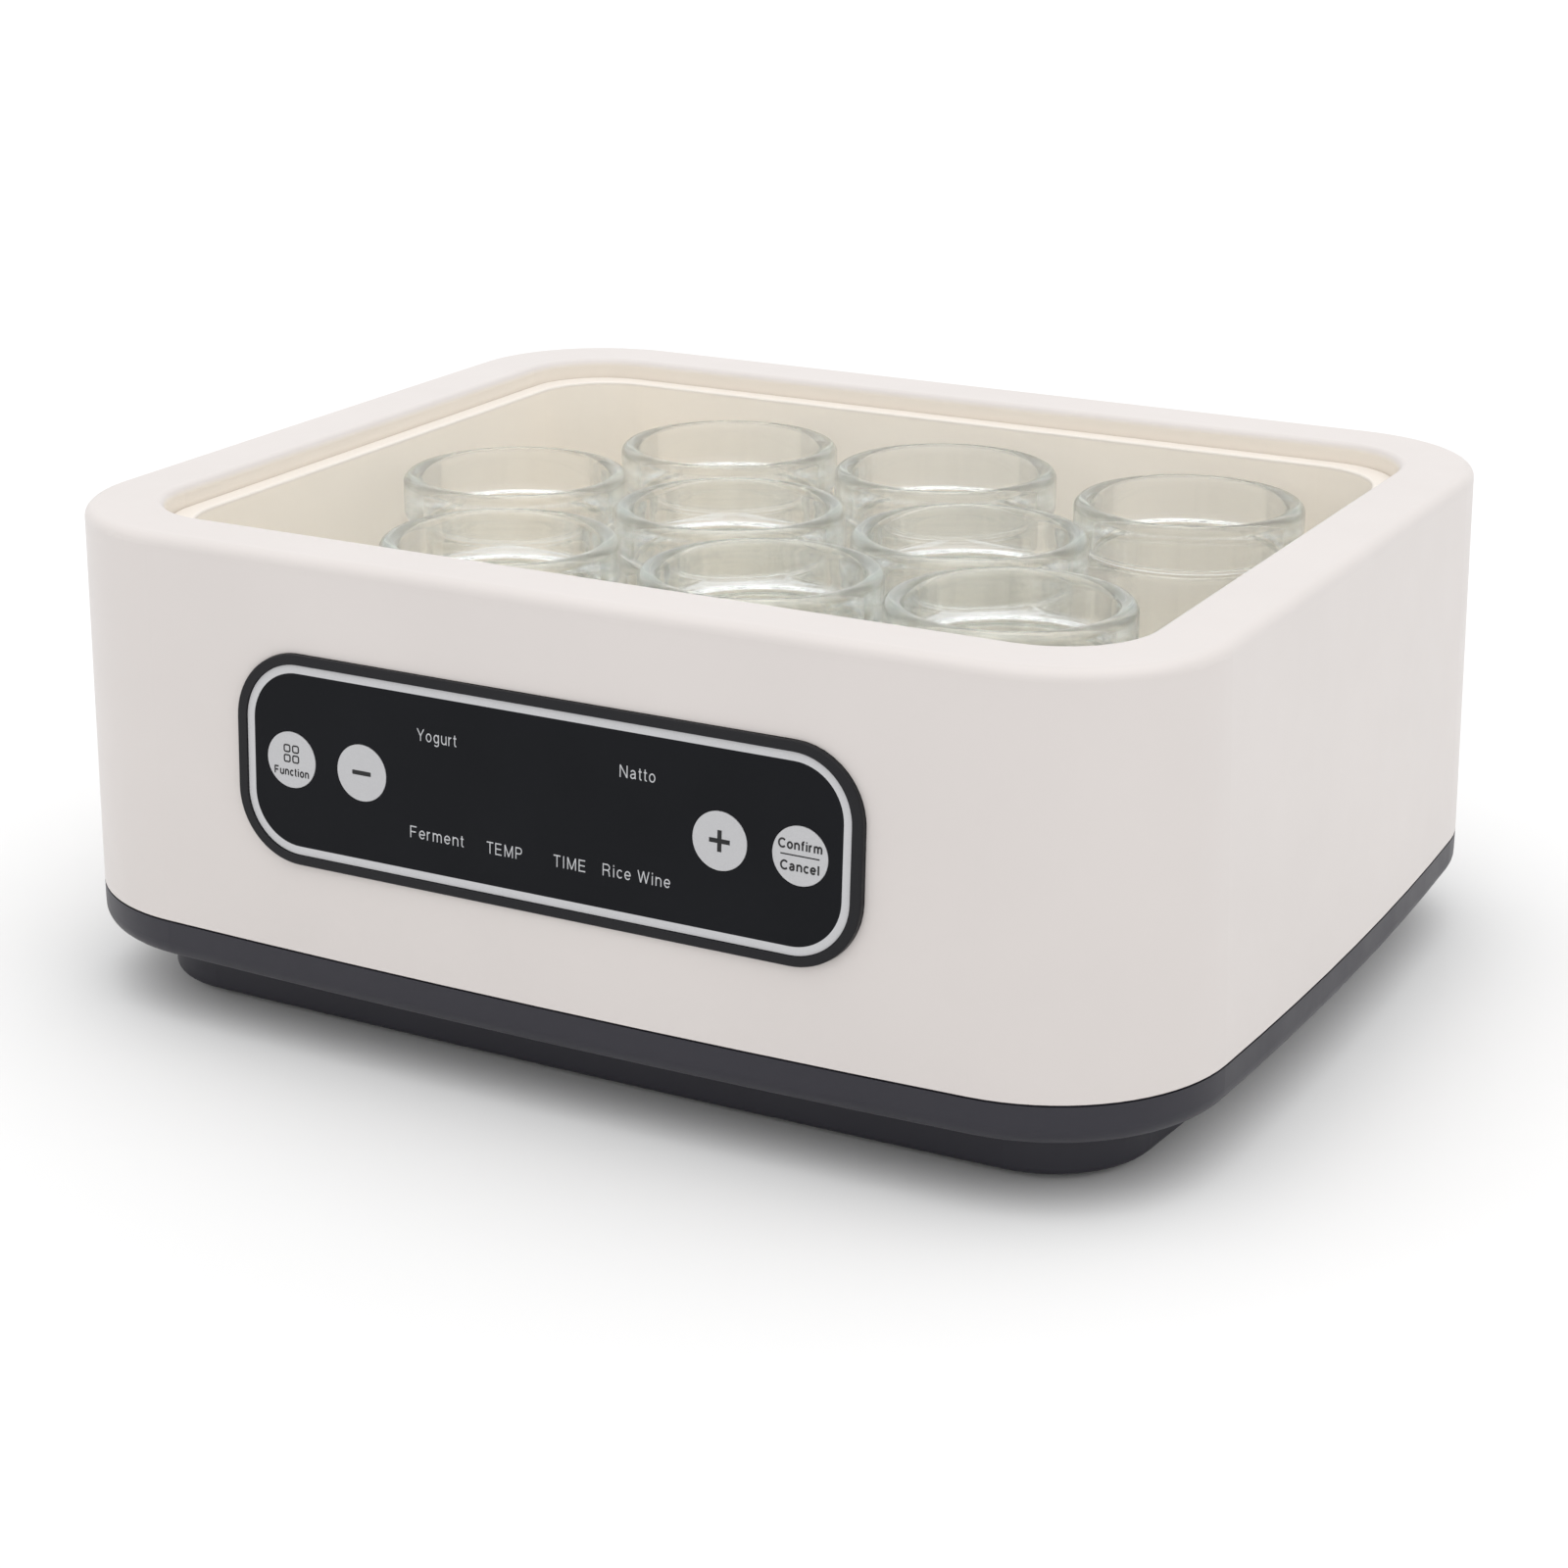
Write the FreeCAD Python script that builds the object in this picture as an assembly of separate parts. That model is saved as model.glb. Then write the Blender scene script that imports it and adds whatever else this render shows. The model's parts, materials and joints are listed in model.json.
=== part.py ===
import FreeCAD, Part
import math
import os

# Yogurt maker: a heated tub of loose glass jars in a moulded housing, with a
# control panel on its front wall and the wiring in the base below the tub.
# Millimetres. The origin is on the surface it stands on, under its middle.
# +X is to the right along the front, -Y is the front, +Z is up.

Vector = FreeCAD.Vector
UP = Vector(0, 0, 1)

# ---------------------------------------------------------------- driving sizes

# Jars. Radii are measured on the outside of the glass.
jar_height = 74.0
jar_lip_radius = 29.15
jar_lip_wall = 4.9
jar_lip_rounding = 2.3
jar_collar_height = 9.5
jar_groove_depth = 2.9
jar_groove_land = 0.8
jar_shoulder_height = 5.0
jar_shoulder_sag = 0.3
jar_body_step = 0.5
jar_side_wall = 3.1
jar_floor = 5.0
jar_heel_radius = 5.0
jar_inner_heel_radius = 6.0
jar_punt_depth = 1.2
jar_punt_margin = 8.0

# Where the jars stand: three staggered rows of three, set down by hand.
jar_columns = 3
jar_gap = 7.2
jar_row_gap = 5.3
jars_shift_x = -4.0
jars_shift_y = 6.9
jar_nudges = [
    [(-0.6, -4.3), (3.0, 1.2), (-0.5, 5.3)],
    [(-0.5, -0.8), (-0.2, -4.0), (-1.3, 0.6)],
    [(0.3, -0.8), (-2.0, 2.4), (1.6, 0.7)],
]

# Tub and rim
side_room_x = 20.95
side_room_y = 24.7
tub_wall = 1.8
tub_floor = 2.0
tub_corner_radius = 20.0
tub_floor_rounding = 6.0
ledge_width = 5.4
ledge_depth = 5.1
ledge_thickness = 2.0
rim_width = 18.1
rim_outer_rounding = 2.7
rim_inner_rounding = 2.0
rim_corner_step = 2.0
jar_headroom = 9.6

# Housing
housing_wall = 2.5
body_corner_radius = 38.4
body_top_bow = 0.15
split_corner_radius = 44.0
split_bow_front = 4.34
split_bow_side = 4.85
split_flare = 0.15

# Base
foot_height = 2.0
foot_radius = 8.0
foot_recess = 1.0
foot_inset_x = 22.0
foot_inset_y = 20.0
foot_rounding = 0.6
base_height = 24.7
plinth_height = 14.6
plinth_inset = 16.0
plinth_corner_radius = 25.8
plinth_bow_front = 1.74
plinth_bow_side = 6.0
plinth_rounding = 1.5
skirt_rounding = 4.1
pan_wall = 2.2
shadow_gap = 0.6
shadow_gap_height = 0.5
tongue_thickness = 1.5
tongue_height = 2.5
tongue_root_height = 3.5
wiring_room = 31.8
vent_count = 8
vent_length = 26.0
vent_width = 2.4
vent_pitch = 7.0

# Control panel, measured in its own plane
panel_length = 161.7
panel_height = 50.2
panel_corner_radius = 16.8
panel_drop = 47.65
panel_proud = 1.0
panel_seat_depth = 1.0
panel_rounding = 0.5
film_length = 156.4
film_height = 45.3
film_corner_radius = 14.2
film_recess = 0.5
film_thickness = 0.5
plug_margin_x = 6.0
plug_margin_y = 6.2
plug_corner_radius = 10.0
plug_depth = 2.0
hook_width = 10.0
hook_thickness = 2.0
hook_depth = 4.2
hook_bump = 1.0
hook_reach = 2.7
hook_end_room = 24.0

# Keys
key_radius = 6.7
key_outer_place = 66.0
key_inner_place = 46.5
key_drop = 0.1
key_stem_radius = 2.0
key_travel = 0.25
key_rounding = 0.12
key_stem_gap = 0.05

# Control board and what it carries
board_thickness = 1.6
board_length = 142.0
board_height = 36.0
board_gap = 6.5
board_corner_radius = 2.0
board_post_radius = 2.6
board_screw_inset = 4.0
switch_side = 6.0
switch_body_depth = 3.8
plunger_radius = 1.75
plunger_height = 1.2
display_length = 42.0
display_height = 15.0
display_setback = 1.4
pipe_radius = 1.5
pipe_flange_radius = 2.5
pipe_flange_depth = 0.8
pipe_place_x = 26.0
pipe_place_y = 6.5
led_length = 3.5
led_height = 2.8
led_depth = 1.5
chip_side = 10.0
chip_place_x = 28.0
chip_depth = 1.4
connector_length = 16.0
connector_height = 6.0
connector_depth = 5.0
connector_place_x = 9.0

# Heater under the tub
plate_thickness = 1.2
plate_margin_x = 21.5
plate_margin_y = 22.0
plate_corner_radius = 12.0
element_radius = 1.2
element_runs = 8
element_margin = 12.0
element_tail = 10.0
pad_thickness = 3.0
pad_inset = 8.0
pin_radius = 1.5
pin_spread = 0.62
retainer_radius = 4.5
retainer_thickness = 0.8
sensor_side = 8.0
sensor_thickness = 3.0
fuse_link_length = 12.0
fuse_link_radius = 2.0
fuse_lead_tail = 2.4
sensor_x = -30.0
pad_window_room = 4.0

# Power board on the floor of the base
power_board_length = 100.0
power_board_width = 60.0
power_board_x = 40.0
power_board_y = 38.0
power_post_height = 5.0
power_screw_inset = 5.0
ribbon_width = 14.0
ribbon_thickness = 1.0
ribbon_bend = 8.0
ribbon_run_z = 23.5
header_height = 4.0
header_inset = 5.0
sensor_header_drop = 12.0
relay_length = 19.0
relay_width = 15.5
relay_height = 15.0
relay_x = -32.0
relay_y = 8.0
core_length = 28.0
core_width = 16.0
core_height = 15.0
winding_length = 18.0
winding_width = 22.0
winding_height = 12.0
transformer_x = 8.0
transformer_y = -14.0
capacitor_radius = 5.0
capacitor_height = 15.0
capacitor_rounding = 0.8
capacitor_x = -6.0
capacitor_y = 8.0
fuse_tube_length = 20.0
fuse_tube_radius = 2.3
fuse_cap_length = 5.5
fuse_cap_radius = 2.6
fuse_clip_thickness = 3.1
fuse_clip_inset = 1.2
fuse_clip_width = 5.8
fuse_axis_height = 5.0
fuse_x = 14.0
fuse_y = 9.0
terminal_height = 11.0
terminal_inset = 1.0
heater_terminal_length = 24.0
heater_terminal_width = 9.0
heater_terminal_pitch = 14.0
mains_terminal_length = 20.0
mains_terminal_width = 8.0
lead_entry_height = 5.0
lead_run_z = 20.5

# Mains inlet in the back wall
inlet_x = 60.0
inlet_height = 46.0
inlet_flange_length = 30.0
inlet_flange_height = 22.0
inlet_flange_depth = 1.5
inlet_flange_corner = 4.0
inlet_flange_rounding = 0.4
inlet_length = 24.0
inlet_body_height = 16.0
inlet_body_corner = 3.0
inlet_depth = 15.0
socket_length = 17.6
socket_height = 9.4
socket_depth = 11.0
inlet_pin_radius = 1.2
inlet_pin_pitch = 8.6
inlet_pin_setback = 2.5
inlet_pin_tip = 0.6
inlet_tab_length = 14.0
inlet_tab_width = 4.0
inlet_tab_thickness = 0.8
inlet_tab_cover = 3.0

# Screws, leads and clearances
screw_radius = 1.5
screw_head_radius = 2.8
screw_head_height = 2.0
screw_length = 14.0
small_screw_radius = 1.1
small_screw_head_radius = 2.1
small_screw_head_height = 1.4
small_screw_length = 6.0
screw_post_radius = 5.0
screw_post_height = 7.8
screw_seat_height = 4.0
screw_boss_radius = 4.2
screw_inset_x = 36.0
screw_inset_y = 12.0
lead_radius = 0.9
lead_bend = 5.0
lead_pair_gap = 3.0
lead_aside = 6.0
lead_step = 4.0
seat_clearance = 0.15
slip_clearance = 0.1
key_clearance = 0.15
thread_clearance = 0.05

# How far a cutting block runs past what it cuts
overshoot = 1.0
wall_overshoot = 12.0

# ---------------------------------------------------------------- worked-out sizes

jar_pitch = 2 * jar_lip_radius + jar_gap
jar_row_pitch = math.sqrt((2 * jar_lip_radius + jar_row_gap) ** 2 - (jar_pitch / 2) ** 2)
jar_rows = len(jar_nudges)

tub_half_x = ((jar_columns - 0.5) * jar_pitch + 2 * jar_lip_radius + side_room_x) / 2
tub_half_y = ((jar_rows - 1) * jar_row_pitch + 2 * jar_lip_radius + side_room_y) / 2
body_half_x = tub_half_x + ledge_width + rim_width
body_half_y = tub_half_y + ledge_width + rim_width

plinth_bottom = foot_height
pan_floor_top = foot_height + pan_wall
skirt_bottom = foot_height + plinth_height
split_z = foot_height + base_height
tub_bottom = pan_floor_top + wiring_room
tub_floor_top = tub_bottom + tub_floor
body_top = tub_floor_top + jar_height + jar_headroom
ledge_top = body_top - ledge_depth
ledge_seat = ledge_top - ledge_thickness

film_front = panel_proud - film_recess
film_back = film_front - film_thickness
plug_back = -panel_seat_depth - plug_depth
board_front = plug_back - board_gap
board_back = board_front - board_thickness
plunger_top = board_front + switch_body_depth + plunger_height
stem_tip = plunger_top + key_travel + key_stem_gap
plug_half_x = panel_length / 2 - plug_margin_x
plug_half_y = panel_height / 2 - plug_margin_y
hook_spread = plug_half_x - hook_end_room
key_places = {
    "key_function": -key_outer_place,
    "key_minus": -key_inner_place,
    "key_plus": key_inner_place,
    "key_confirm": key_outer_place,
}

# ---------------------------------------------------------------- shape helpers


def box(x0, x1, y0, y1, z0, z1):
    """A block between two corners."""
    return Part.makeBox(x1 - x0, y1 - y0, z1 - z0, Vector(x0, y0, z0))


def block(length, width, height, x, y, z):
    """A block centred on x and y that stands on z."""
    return box(x - length / 2, x + length / 2, y - width / 2, y + width / 2, z, z + height)


def rod(radius, x, y, z0, z1):
    """An upright cylinder between two heights."""
    return Part.makeCylinder(radius, z1 - z0, Vector(x, y, z0), UP)


def fuse_all(shapes):
    """One solid from several that overlap."""
    return shapes[0].multiFuse(shapes[1:]).removeSplitter() if len(shapes) > 1 else shapes[0]


def rounded_wire(half_x, half_y, radius, z):
    """A rectangle with round corners."""
    x = half_x - radius
    y = half_y - radius
    mid = radius * math.sqrt(0.5)
    edges = []
    corners = ((1, 1, "x", "y"), (-1, 1, "y", "x"), (-1, -1, "x", "y"), (1, -1, "y", "x"))
    for sx, sy, first, second in corners:
        ends = {"x": Vector(sx * half_x, sy * y, z), "y": Vector(sx * x, sy * half_y, z)}
        middle = Vector(sx * (x + mid), sy * (y + mid), z)
        edges.append(Part.Arc(ends[first], middle, ends[second]).toShape())
    lines = []
    for i, edge in enumerate(edges):
        after = edges[(i + 1) % len(edges)]
        lines.append(edge)
        start = edge.valueAt(edge.LastParameter)
        end = after.valueAt(after.FirstParameter)
        if start.distanceToPoint(end) > 0.001:
            lines.append(Part.makeLine(start, end))
    return Part.Wire(lines)


def plate(half_x, half_y, radius, z0, z1, x=0.0, y=0.0):
    """A flat plate with round corners."""
    solid = Part.Face(rounded_wire(half_x, half_y, radius, z0)).extrude(UP * (z1 - z0))
    solid.translate(Vector(x, y, 0))
    return solid


def bowed_wire(half_x, half_y, radius, bow_front, bow_side, z):
    """A rectangle whose four sides are shallow arcs, with a round corner tangent to both."""
    front_radius = (half_x ** 2 + bow_front ** 2) / (2 * bow_front)
    side_radius = (half_y ** 2 + bow_side ** 2) / (2 * bow_side)
    front_centre = Vector(0, half_y + bow_front - front_radius, 0)
    side_centre = Vector(half_x + bow_side - side_radius, 0, 0)
    reach_front = front_radius - radius
    reach_side = side_radius - radius
    apart = side_centre - front_centre
    along = (reach_front ** 2 - reach_side ** 2 + apart.Length ** 2) / (2 * apart.Length)
    across = math.sqrt(reach_front ** 2 - along ** 2)
    direction = Vector(apart).normalize()
    corner = front_centre + direction * along + Vector(direction.y, -direction.x, 0) * across
    to_front = Vector(corner - front_centre).normalize()
    to_side = Vector(corner - side_centre).normalize()
    to_corner = Vector(to_front + to_side).normalize()
    p_front = corner + to_front * radius
    p_side = corner + to_side * radius
    p_corner = corner + to_corner * radius

    def at(point, sx, sy):
        return Vector(sx * point.x, sy * point.y, z)

    mid_front = Vector(0, half_y + bow_front, 0)
    mid_side = Vector(half_x + bow_side, 0, 0)
    arcs = [
        (at(p_front, 1, 1), at(mid_front, 1, 1), at(p_front, -1, 1)),
        (at(p_front, -1, 1), at(p_corner, -1, 1), at(p_side, -1, 1)),
        (at(p_side, -1, 1), at(mid_side, -1, 1), at(p_side, -1, -1)),
        (at(p_side, -1, -1), at(p_corner, -1, -1), at(p_front, -1, -1)),
        (at(p_front, -1, -1), at(mid_front, -1, -1), at(p_front, 1, -1)),
        (at(p_front, 1, -1), at(p_corner, 1, -1), at(p_side, 1, -1)),
        (at(p_side, 1, -1), at(mid_side, 1, -1), at(p_side, 1, 1)),
        (at(p_side, 1, 1), at(p_corner, 1, 1), at(p_front, 1, 1)),
    ]
    return Part.Wire([Part.Arc(*three).toShape() for three in arcs])


def body_values(z):
    """Half sizes, corner radius and bows of the housing's outside at a height."""
    down = (body_top - z) / (body_top - split_z)
    return (
        body_half_x + split_flare * down,
        body_half_y + split_flare * down,
        body_corner_radius + (split_corner_radius - body_corner_radius) * down,
        body_top_bow + (split_bow_front - body_top_bow) * down,
        body_top_bow + (split_bow_side - body_top_bow) * down,
    )


def body_wire(z, inset):
    """The housing's outline at a height, set in by a distance."""
    half_x, half_y, radius, bow_front, bow_side = body_values(z)
    return bowed_wire(half_x - inset, half_y - inset, radius - inset, bow_front, bow_side, z)


def body_loft(z0, z1, inset):
    """The housing's leaning outside between two heights, set in by a distance."""
    return Part.makeLoft([body_wire(z0, inset), body_wire(z1, inset)], True, True)


def split_prism(z0, z1, inset):
    """An upright block with the outline that the housing and the base share."""
    half_x, half_y, radius, bow_front, bow_side = body_values(split_z)
    wire = bowed_wire(half_x - inset, half_y - inset, radius - inset, bow_front, bow_side, z0)
    return Part.Face(wire).extrude(UP * (z1 - z0))


def plinth_prism(z0, z1, inset):
    """An upright block with the plinth's outline."""
    wire = bowed_wire(
        body_half_x - plinth_inset - inset,
        body_half_y - plinth_inset - inset,
        plinth_corner_radius - inset,
        plinth_bow_front,
        plinth_bow_side,
        z0,
    )
    return Part.Face(wire).extrude(UP * (z1 - z0))


def wall_reach(x, z):
    """How far in front of the middle the outside of the front wall is."""
    half_x, half_y, _, bow_front, _ = body_values(z)
    return half_y + bow_front * (1 - (x / half_x) ** 2)


def wall_lean():
    """Angle by which the front and back walls lean in towards the top."""
    run = wall_reach(0, split_z) - wall_reach(0, body_top)
    return math.atan2(run, body_top - split_z)


def face_placement(side, x, z):
    """Place of a drawing plane on the wall: X right, Y up the wall, Z outwards.

    side is -1 for the front wall and +1 for the back wall.
    """
    lean = wall_lean()
    right = Vector(-side, 0, 0)
    up = Vector(0, -side * math.sin(lean), math.cos(lean))
    out = Vector(0, side * math.cos(lean), math.sin(lean))
    origin = Vector(x, side * wall_reach(x, z), z)
    matrix = FreeCAD.Matrix(
        right.x, up.x, out.x, origin.x,
        right.y, up.y, out.y, origin.y,
        right.z, up.z, out.z, origin.z,
        0, 0, 0, 1,
    )
    return FreeCAD.Placement(matrix)


def placed(shape, placement):
    """A copy of a shape moved from its drawing plane into the object."""
    return shape.transformed(placement.toMatrix(), True)


def horizontal_edges(solid, z, inside=None):
    """Edges of a solid that lie at one height, and inside a box if one is given."""
    found = []
    for edge in solid.Edges:
        level = edge.BoundBox
        if abs(level.ZMin - z) > 0.01 or abs(level.ZMax - z) > 0.01:
            continue
        if inside and (abs(level.Center.x) > inside[0] or abs(level.Center.y) > inside[1]):
            continue
        found.append(edge)
    return found


def route(points, bend):
    """Straight runs through the points, joined by tangent arcs."""
    edges = []
    start = points[0]
    for before, corner, after in zip(points, points[1:], points[2:]):
        back = Vector(before - corner).normalize()
        ahead = Vector(after - corner).normalize()
        half_turn = (math.pi - back.getAngle(ahead)) / 2
        shortest = min((before - corner).Length, (after - corner).Length)
        radius = min(bend, 0.45 * shortest / math.tan(half_turn))
        reach = radius * math.tan(half_turn)
        entry = corner + back * reach
        leave = corner + ahead * reach
        middle_way = Vector(back + ahead).normalize()
        crown = corner + middle_way * (radius / math.cos(half_turn) - radius)
        edges.append(Part.makeLine(start, entry))
        edges.append(Part.Arc(entry, crown, leave).toShape())
        start = leave
    edges.append(Part.makeLine(start, points[-1]))
    return Part.Wire(edges)


def lead(points, radius, bend):
    """A round wire along a route."""
    path = route(points, bend)
    heading = Vector(points[1] - points[0]).normalize()
    ring = Part.Wire([Part.makeCircle(radius, points[0], heading)])
    return path.makePipeShell([ring], True, False)


def screw_up(x, y, z, radius, head_radius, head_height, length):
    """A pan-head screw that points up, with the underside of its head at z."""
    head = rod(head_radius, x, y, z - head_height, z)
    slot = block(2 * head_radius, head_height / 3, head_height / 2, x, y, z - head_height)
    return head.cut(slot).fuse(rod(radius, x, y, z, z + length)).removeSplitter()


def mirrored_places(x, y):
    """The four places at plus and minus x and y."""
    return [(sx * x, sy * y) for sx in (-1, 1) for sy in (-1, 1)]


parts = {}


def add(name, shape):
    """Keep a sub-part under its node's name."""
    parts[name] = shape


# ---------------------------------------------------------------- places

screw_places = mirrored_places(tub_half_x - screw_inset_x, tub_half_y - screw_inset_y)
screw_places += [(-(tub_half_x - screw_inset_y), 0.0), (tub_half_x - screw_inset_y, 0.0)]
foot_places = {
    "foot_front_left": (-1, -1),
    "foot_front_right": (1, -1),
    "foot_back_left": (-1, 1),
    "foot_back_right": (1, 1),
}
foot_x = body_half_x - plinth_inset - foot_inset_x
foot_y = body_half_y - plinth_inset - foot_inset_y
panel_face = face_placement(-1, 0.0, body_top - panel_drop)
inlet_face = face_placement(1, inlet_x, inlet_height)

plate_half_x = tub_half_x - plate_margin_x
plate_half_y = tub_half_y - plate_margin_y
plate_bottom = tub_bottom - plate_thickness
element_z = plate_bottom - element_radius
pad_top = plate_bottom - 2 * element_radius
pad_bottom = pad_top - pad_thickness
pad_half_x = plate_half_x - pad_inset
pad_half_y = plate_half_y - pad_inset / 2
element_half_x = plate_half_x - element_margin
element_pitch = 2 * (plate_half_y - element_margin) / (element_runs - 1)
element_y = [(i - (element_runs - 1) / 2) * element_pitch for i in range(element_runs)]
pin_places = [(x, y) for x in (-pin_spread * pad_half_x, 0.0, pin_spread * pad_half_x)
              for y in (-2 * element_pitch, 2 * element_pitch)]
sensor_y = element_pitch
link_y = 0.0

power_board_bottom = pan_floor_top + power_post_height
power_board_top = power_board_bottom + board_thickness
power_screw_x = power_board_length / 2 - power_screw_inset
power_screw_y = power_board_width / 2 - power_screw_inset
power_places = [(power_board_x + dx, power_board_y + dy)
                for dx, dy in mirrored_places(power_screw_x, power_screw_y)]

# ---------------------------------------------------------------- housing


def make_housing():
    """Outer wall, rim and the short inner wall that holds the tub's ledge."""
    cap_bottom = body_top - 1.5 * rim_outer_rounding
    cap = Part.Face(body_wire(cap_bottom, 0)).extrude(UP * (body_top - cap_bottom))
    cap = cap.makeFillet(rim_outer_rounding, horizontal_edges(cap, body_top))
    outside = body_loft(split_z, cap_bottom, 0).fuse(cap)
    rim_under = body_top - housing_wall
    hollow = body_loft(split_z, rim_under, housing_wall)
    return_bottom = ledge_seat - ledge_thickness
    rim_half_x = body_half_x - rim_width
    rim_half_y = body_half_y - rim_width
    rim_corner = tub_corner_radius + rim_corner_step
    return_block = plate(rim_half_x + housing_wall, rim_half_y + housing_wall,
                         rim_corner + housing_wall, return_bottom, body_top)
    shell = outside.cut(hollow.cut(return_block))
    mouth = plate(rim_half_x, rim_half_y, rim_corner, ledge_seat, body_top + overshoot)
    seat = plate(tub_half_x + tub_wall + slip_clearance, tub_half_y + tub_wall + slip_clearance,
                 tub_corner_radius + tub_wall + slip_clearance, split_z - overshoot, ledge_seat + overshoot)
    shell = shell.cut(mouth).cut(seat)
    inner_edges = horizontal_edges(shell, body_top, (rim_half_x + overshoot, rim_half_y + overshoot))
    shell = shell.makeFillet(rim_inner_rounding, inner_edges)
    pocket = plate(panel_length / 2 + slip_clearance, panel_height / 2 + slip_clearance,
                   panel_corner_radius + slip_clearance, -panel_seat_depth, wall_overshoot)
    window = plate(plug_half_x + slip_clearance, plug_half_y + slip_clearance,
                   plug_corner_radius + slip_clearance, -wall_overshoot, 0)
    shell = shell.cut(placed(pocket, panel_face)).cut(placed(window, panel_face))
    inlet_pocket = plate(inlet_flange_length / 2 + slip_clearance, inlet_flange_height / 2 + slip_clearance,
                         inlet_flange_corner, -inlet_flange_depth, wall_overshoot)
    inlet_window = plate(inlet_length / 2 + slip_clearance, inlet_body_height / 2 + slip_clearance,
                         inlet_body_corner, -wall_overshoot, 0)
    return shell.cut(placed(inlet_pocket, inlet_face)).cut(placed(inlet_window, inlet_face))


add("outer_housing", make_housing())

# ---------------------------------------------------------------- tub


def make_tub():
    """Tub with its ledge, the screw bosses under it and the pins for the heater."""
    outer = plate(tub_half_x + tub_wall, tub_half_y + tub_wall, tub_corner_radius + tub_wall,
                  tub_bottom, ledge_top)
    outer = outer.makeFillet(tub_floor_rounding + tub_floor, horizontal_edges(outer, tub_bottom))
    ledge = plate(tub_half_x + ledge_width - seat_clearance, tub_half_y + ledge_width - seat_clearance,
                  tub_corner_radius + rim_corner_step - seat_clearance, ledge_seat, ledge_top)
    inner = plate(tub_half_x, tub_half_y, tub_corner_radius, tub_floor_top, ledge_top + overshoot)
    inner = inner.makeFillet(tub_floor_rounding, horizontal_edges(inner, tub_floor_top))
    pieces = [outer, ledge]
    boss_bottom = pan_floor_top + screw_post_height
    for x, y in screw_places:
        pieces.append(rod(screw_boss_radius, x, y, boss_bottom, tub_bottom + tub_floor / 2))
    for x, y in pin_places:
        pieces.append(rod(pin_radius, x, y, pad_bottom - 2 * retainer_thickness, tub_bottom + tub_floor / 2))
    tub = fuse_all(pieces).cut(inner)
    for x, y in screw_places:
        tub = tub.cut(rod(screw_radius + thread_clearance, x, y, boss_bottom, boss_bottom + screw_length))
    rounded = horizontal_edges(tub, ledge_top, (tub_half_x + overshoot, tub_half_y + overshoot))
    return tub.makeFillet(ledge_thickness / 3, rounded)


add("inner_tub", make_tub())

# ---------------------------------------------------------------- base


def make_pan():
    """Skirt and plinth in one moulding, open at the top."""
    skirt = split_prism(skirt_bottom, split_z, 0)
    skirt = skirt.makeFillet(skirt_rounding, horizontal_edges(skirt, skirt_bottom))
    plinth = plinth_prism(plinth_bottom, skirt_bottom + pan_wall, 0)
    plinth = plinth.makeFillet(plinth_rounding, horizontal_edges(plinth, plinth_bottom))
    pan = skirt.fuse(plinth)
    pan = pan.cut(split_prism(skirt_bottom + pan_wall, split_z + overshoot, pan_wall))
    pan = pan.cut(plinth_prism(pan_floor_top, split_z + overshoot, pan_wall))
    gap_bottom = split_z - shadow_gap_height
    gap = split_prism(gap_bottom, split_z + overshoot, -overshoot)
    pan = pan.cut(gap.cut(split_prism(gap_bottom, split_z + overshoot, shadow_gap)))
    tongue_out = housing_wall + 2 * slip_clearance
    tongue_in = tongue_out + tongue_thickness
    root_bottom = split_z - tongue_root_height
    root = split_prism(root_bottom, split_z, pan_wall / 2).cut(split_prism(root_bottom, split_z, tongue_in))
    tongue = split_prism(split_z, split_z + tongue_height, tongue_out)
    tongue = tongue.cut(split_prism(split_z, split_z + tongue_height, tongue_in))
    posts = [rod(screw_post_radius, x, y, pan_floor_top - pan_wall / 2, pan_floor_top + screw_post_height)
             for x, y in screw_places]
    posts += [rod(board_post_radius, x, y, pan_floor_top - pan_wall / 2, power_board_bottom)
              for x, y in power_places]
    pan = fuse_all([pan, root, tongue] + posts)
    seat = pan_floor_top + screw_seat_height
    boss_seat = pan_floor_top + screw_post_height
    for x, y in screw_places:
        pan = pan.cut(rod(screw_head_radius + 2 * slip_clearance, x, y, 0, seat))
        pan = pan.cut(rod(screw_radius + 2 * slip_clearance, x, y, seat, boss_seat + overshoot))
    for x, y in power_places:
        pan = pan.cut(rod(small_screw_radius + thread_clearance, x, y,
                          pan_floor_top, power_board_bottom + overshoot))
    for sx, sy in foot_places.values():
        pan = pan.cut(rod(foot_radius + slip_clearance, sx * foot_x, sy * foot_y,
                          0, foot_height + foot_recess))
    for i in range(vent_count):
        x = (i - (vent_count - 1) / 2) * vent_pitch
        slot = plate(vent_width / 2, vent_length / 2, vent_width / 2 - 0.01, 0, pan_floor_top + overshoot,
                     x - body_half_x / 2, -body_half_y / 3)
        pan = pan.cut(slot)
    return pan


add("base_pan", make_pan())

for foot_name, (sx, sy) in foot_places.items():
    foot = rod(foot_radius, sx * foot_x, sy * foot_y, 0, foot_height + foot_recess)
    add(foot_name, foot.makeFillet(foot_rounding, horizontal_edges(foot, 0)))

screw_seat = pan_floor_top + screw_seat_height
add("base_screws", Part.makeCompound([
    screw_up(x, y, screw_seat, screw_radius, screw_head_radius, screw_head_height, screw_length)
    for x, y in screw_places
]))

# ---------------------------------------------------------------- control panel


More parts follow.
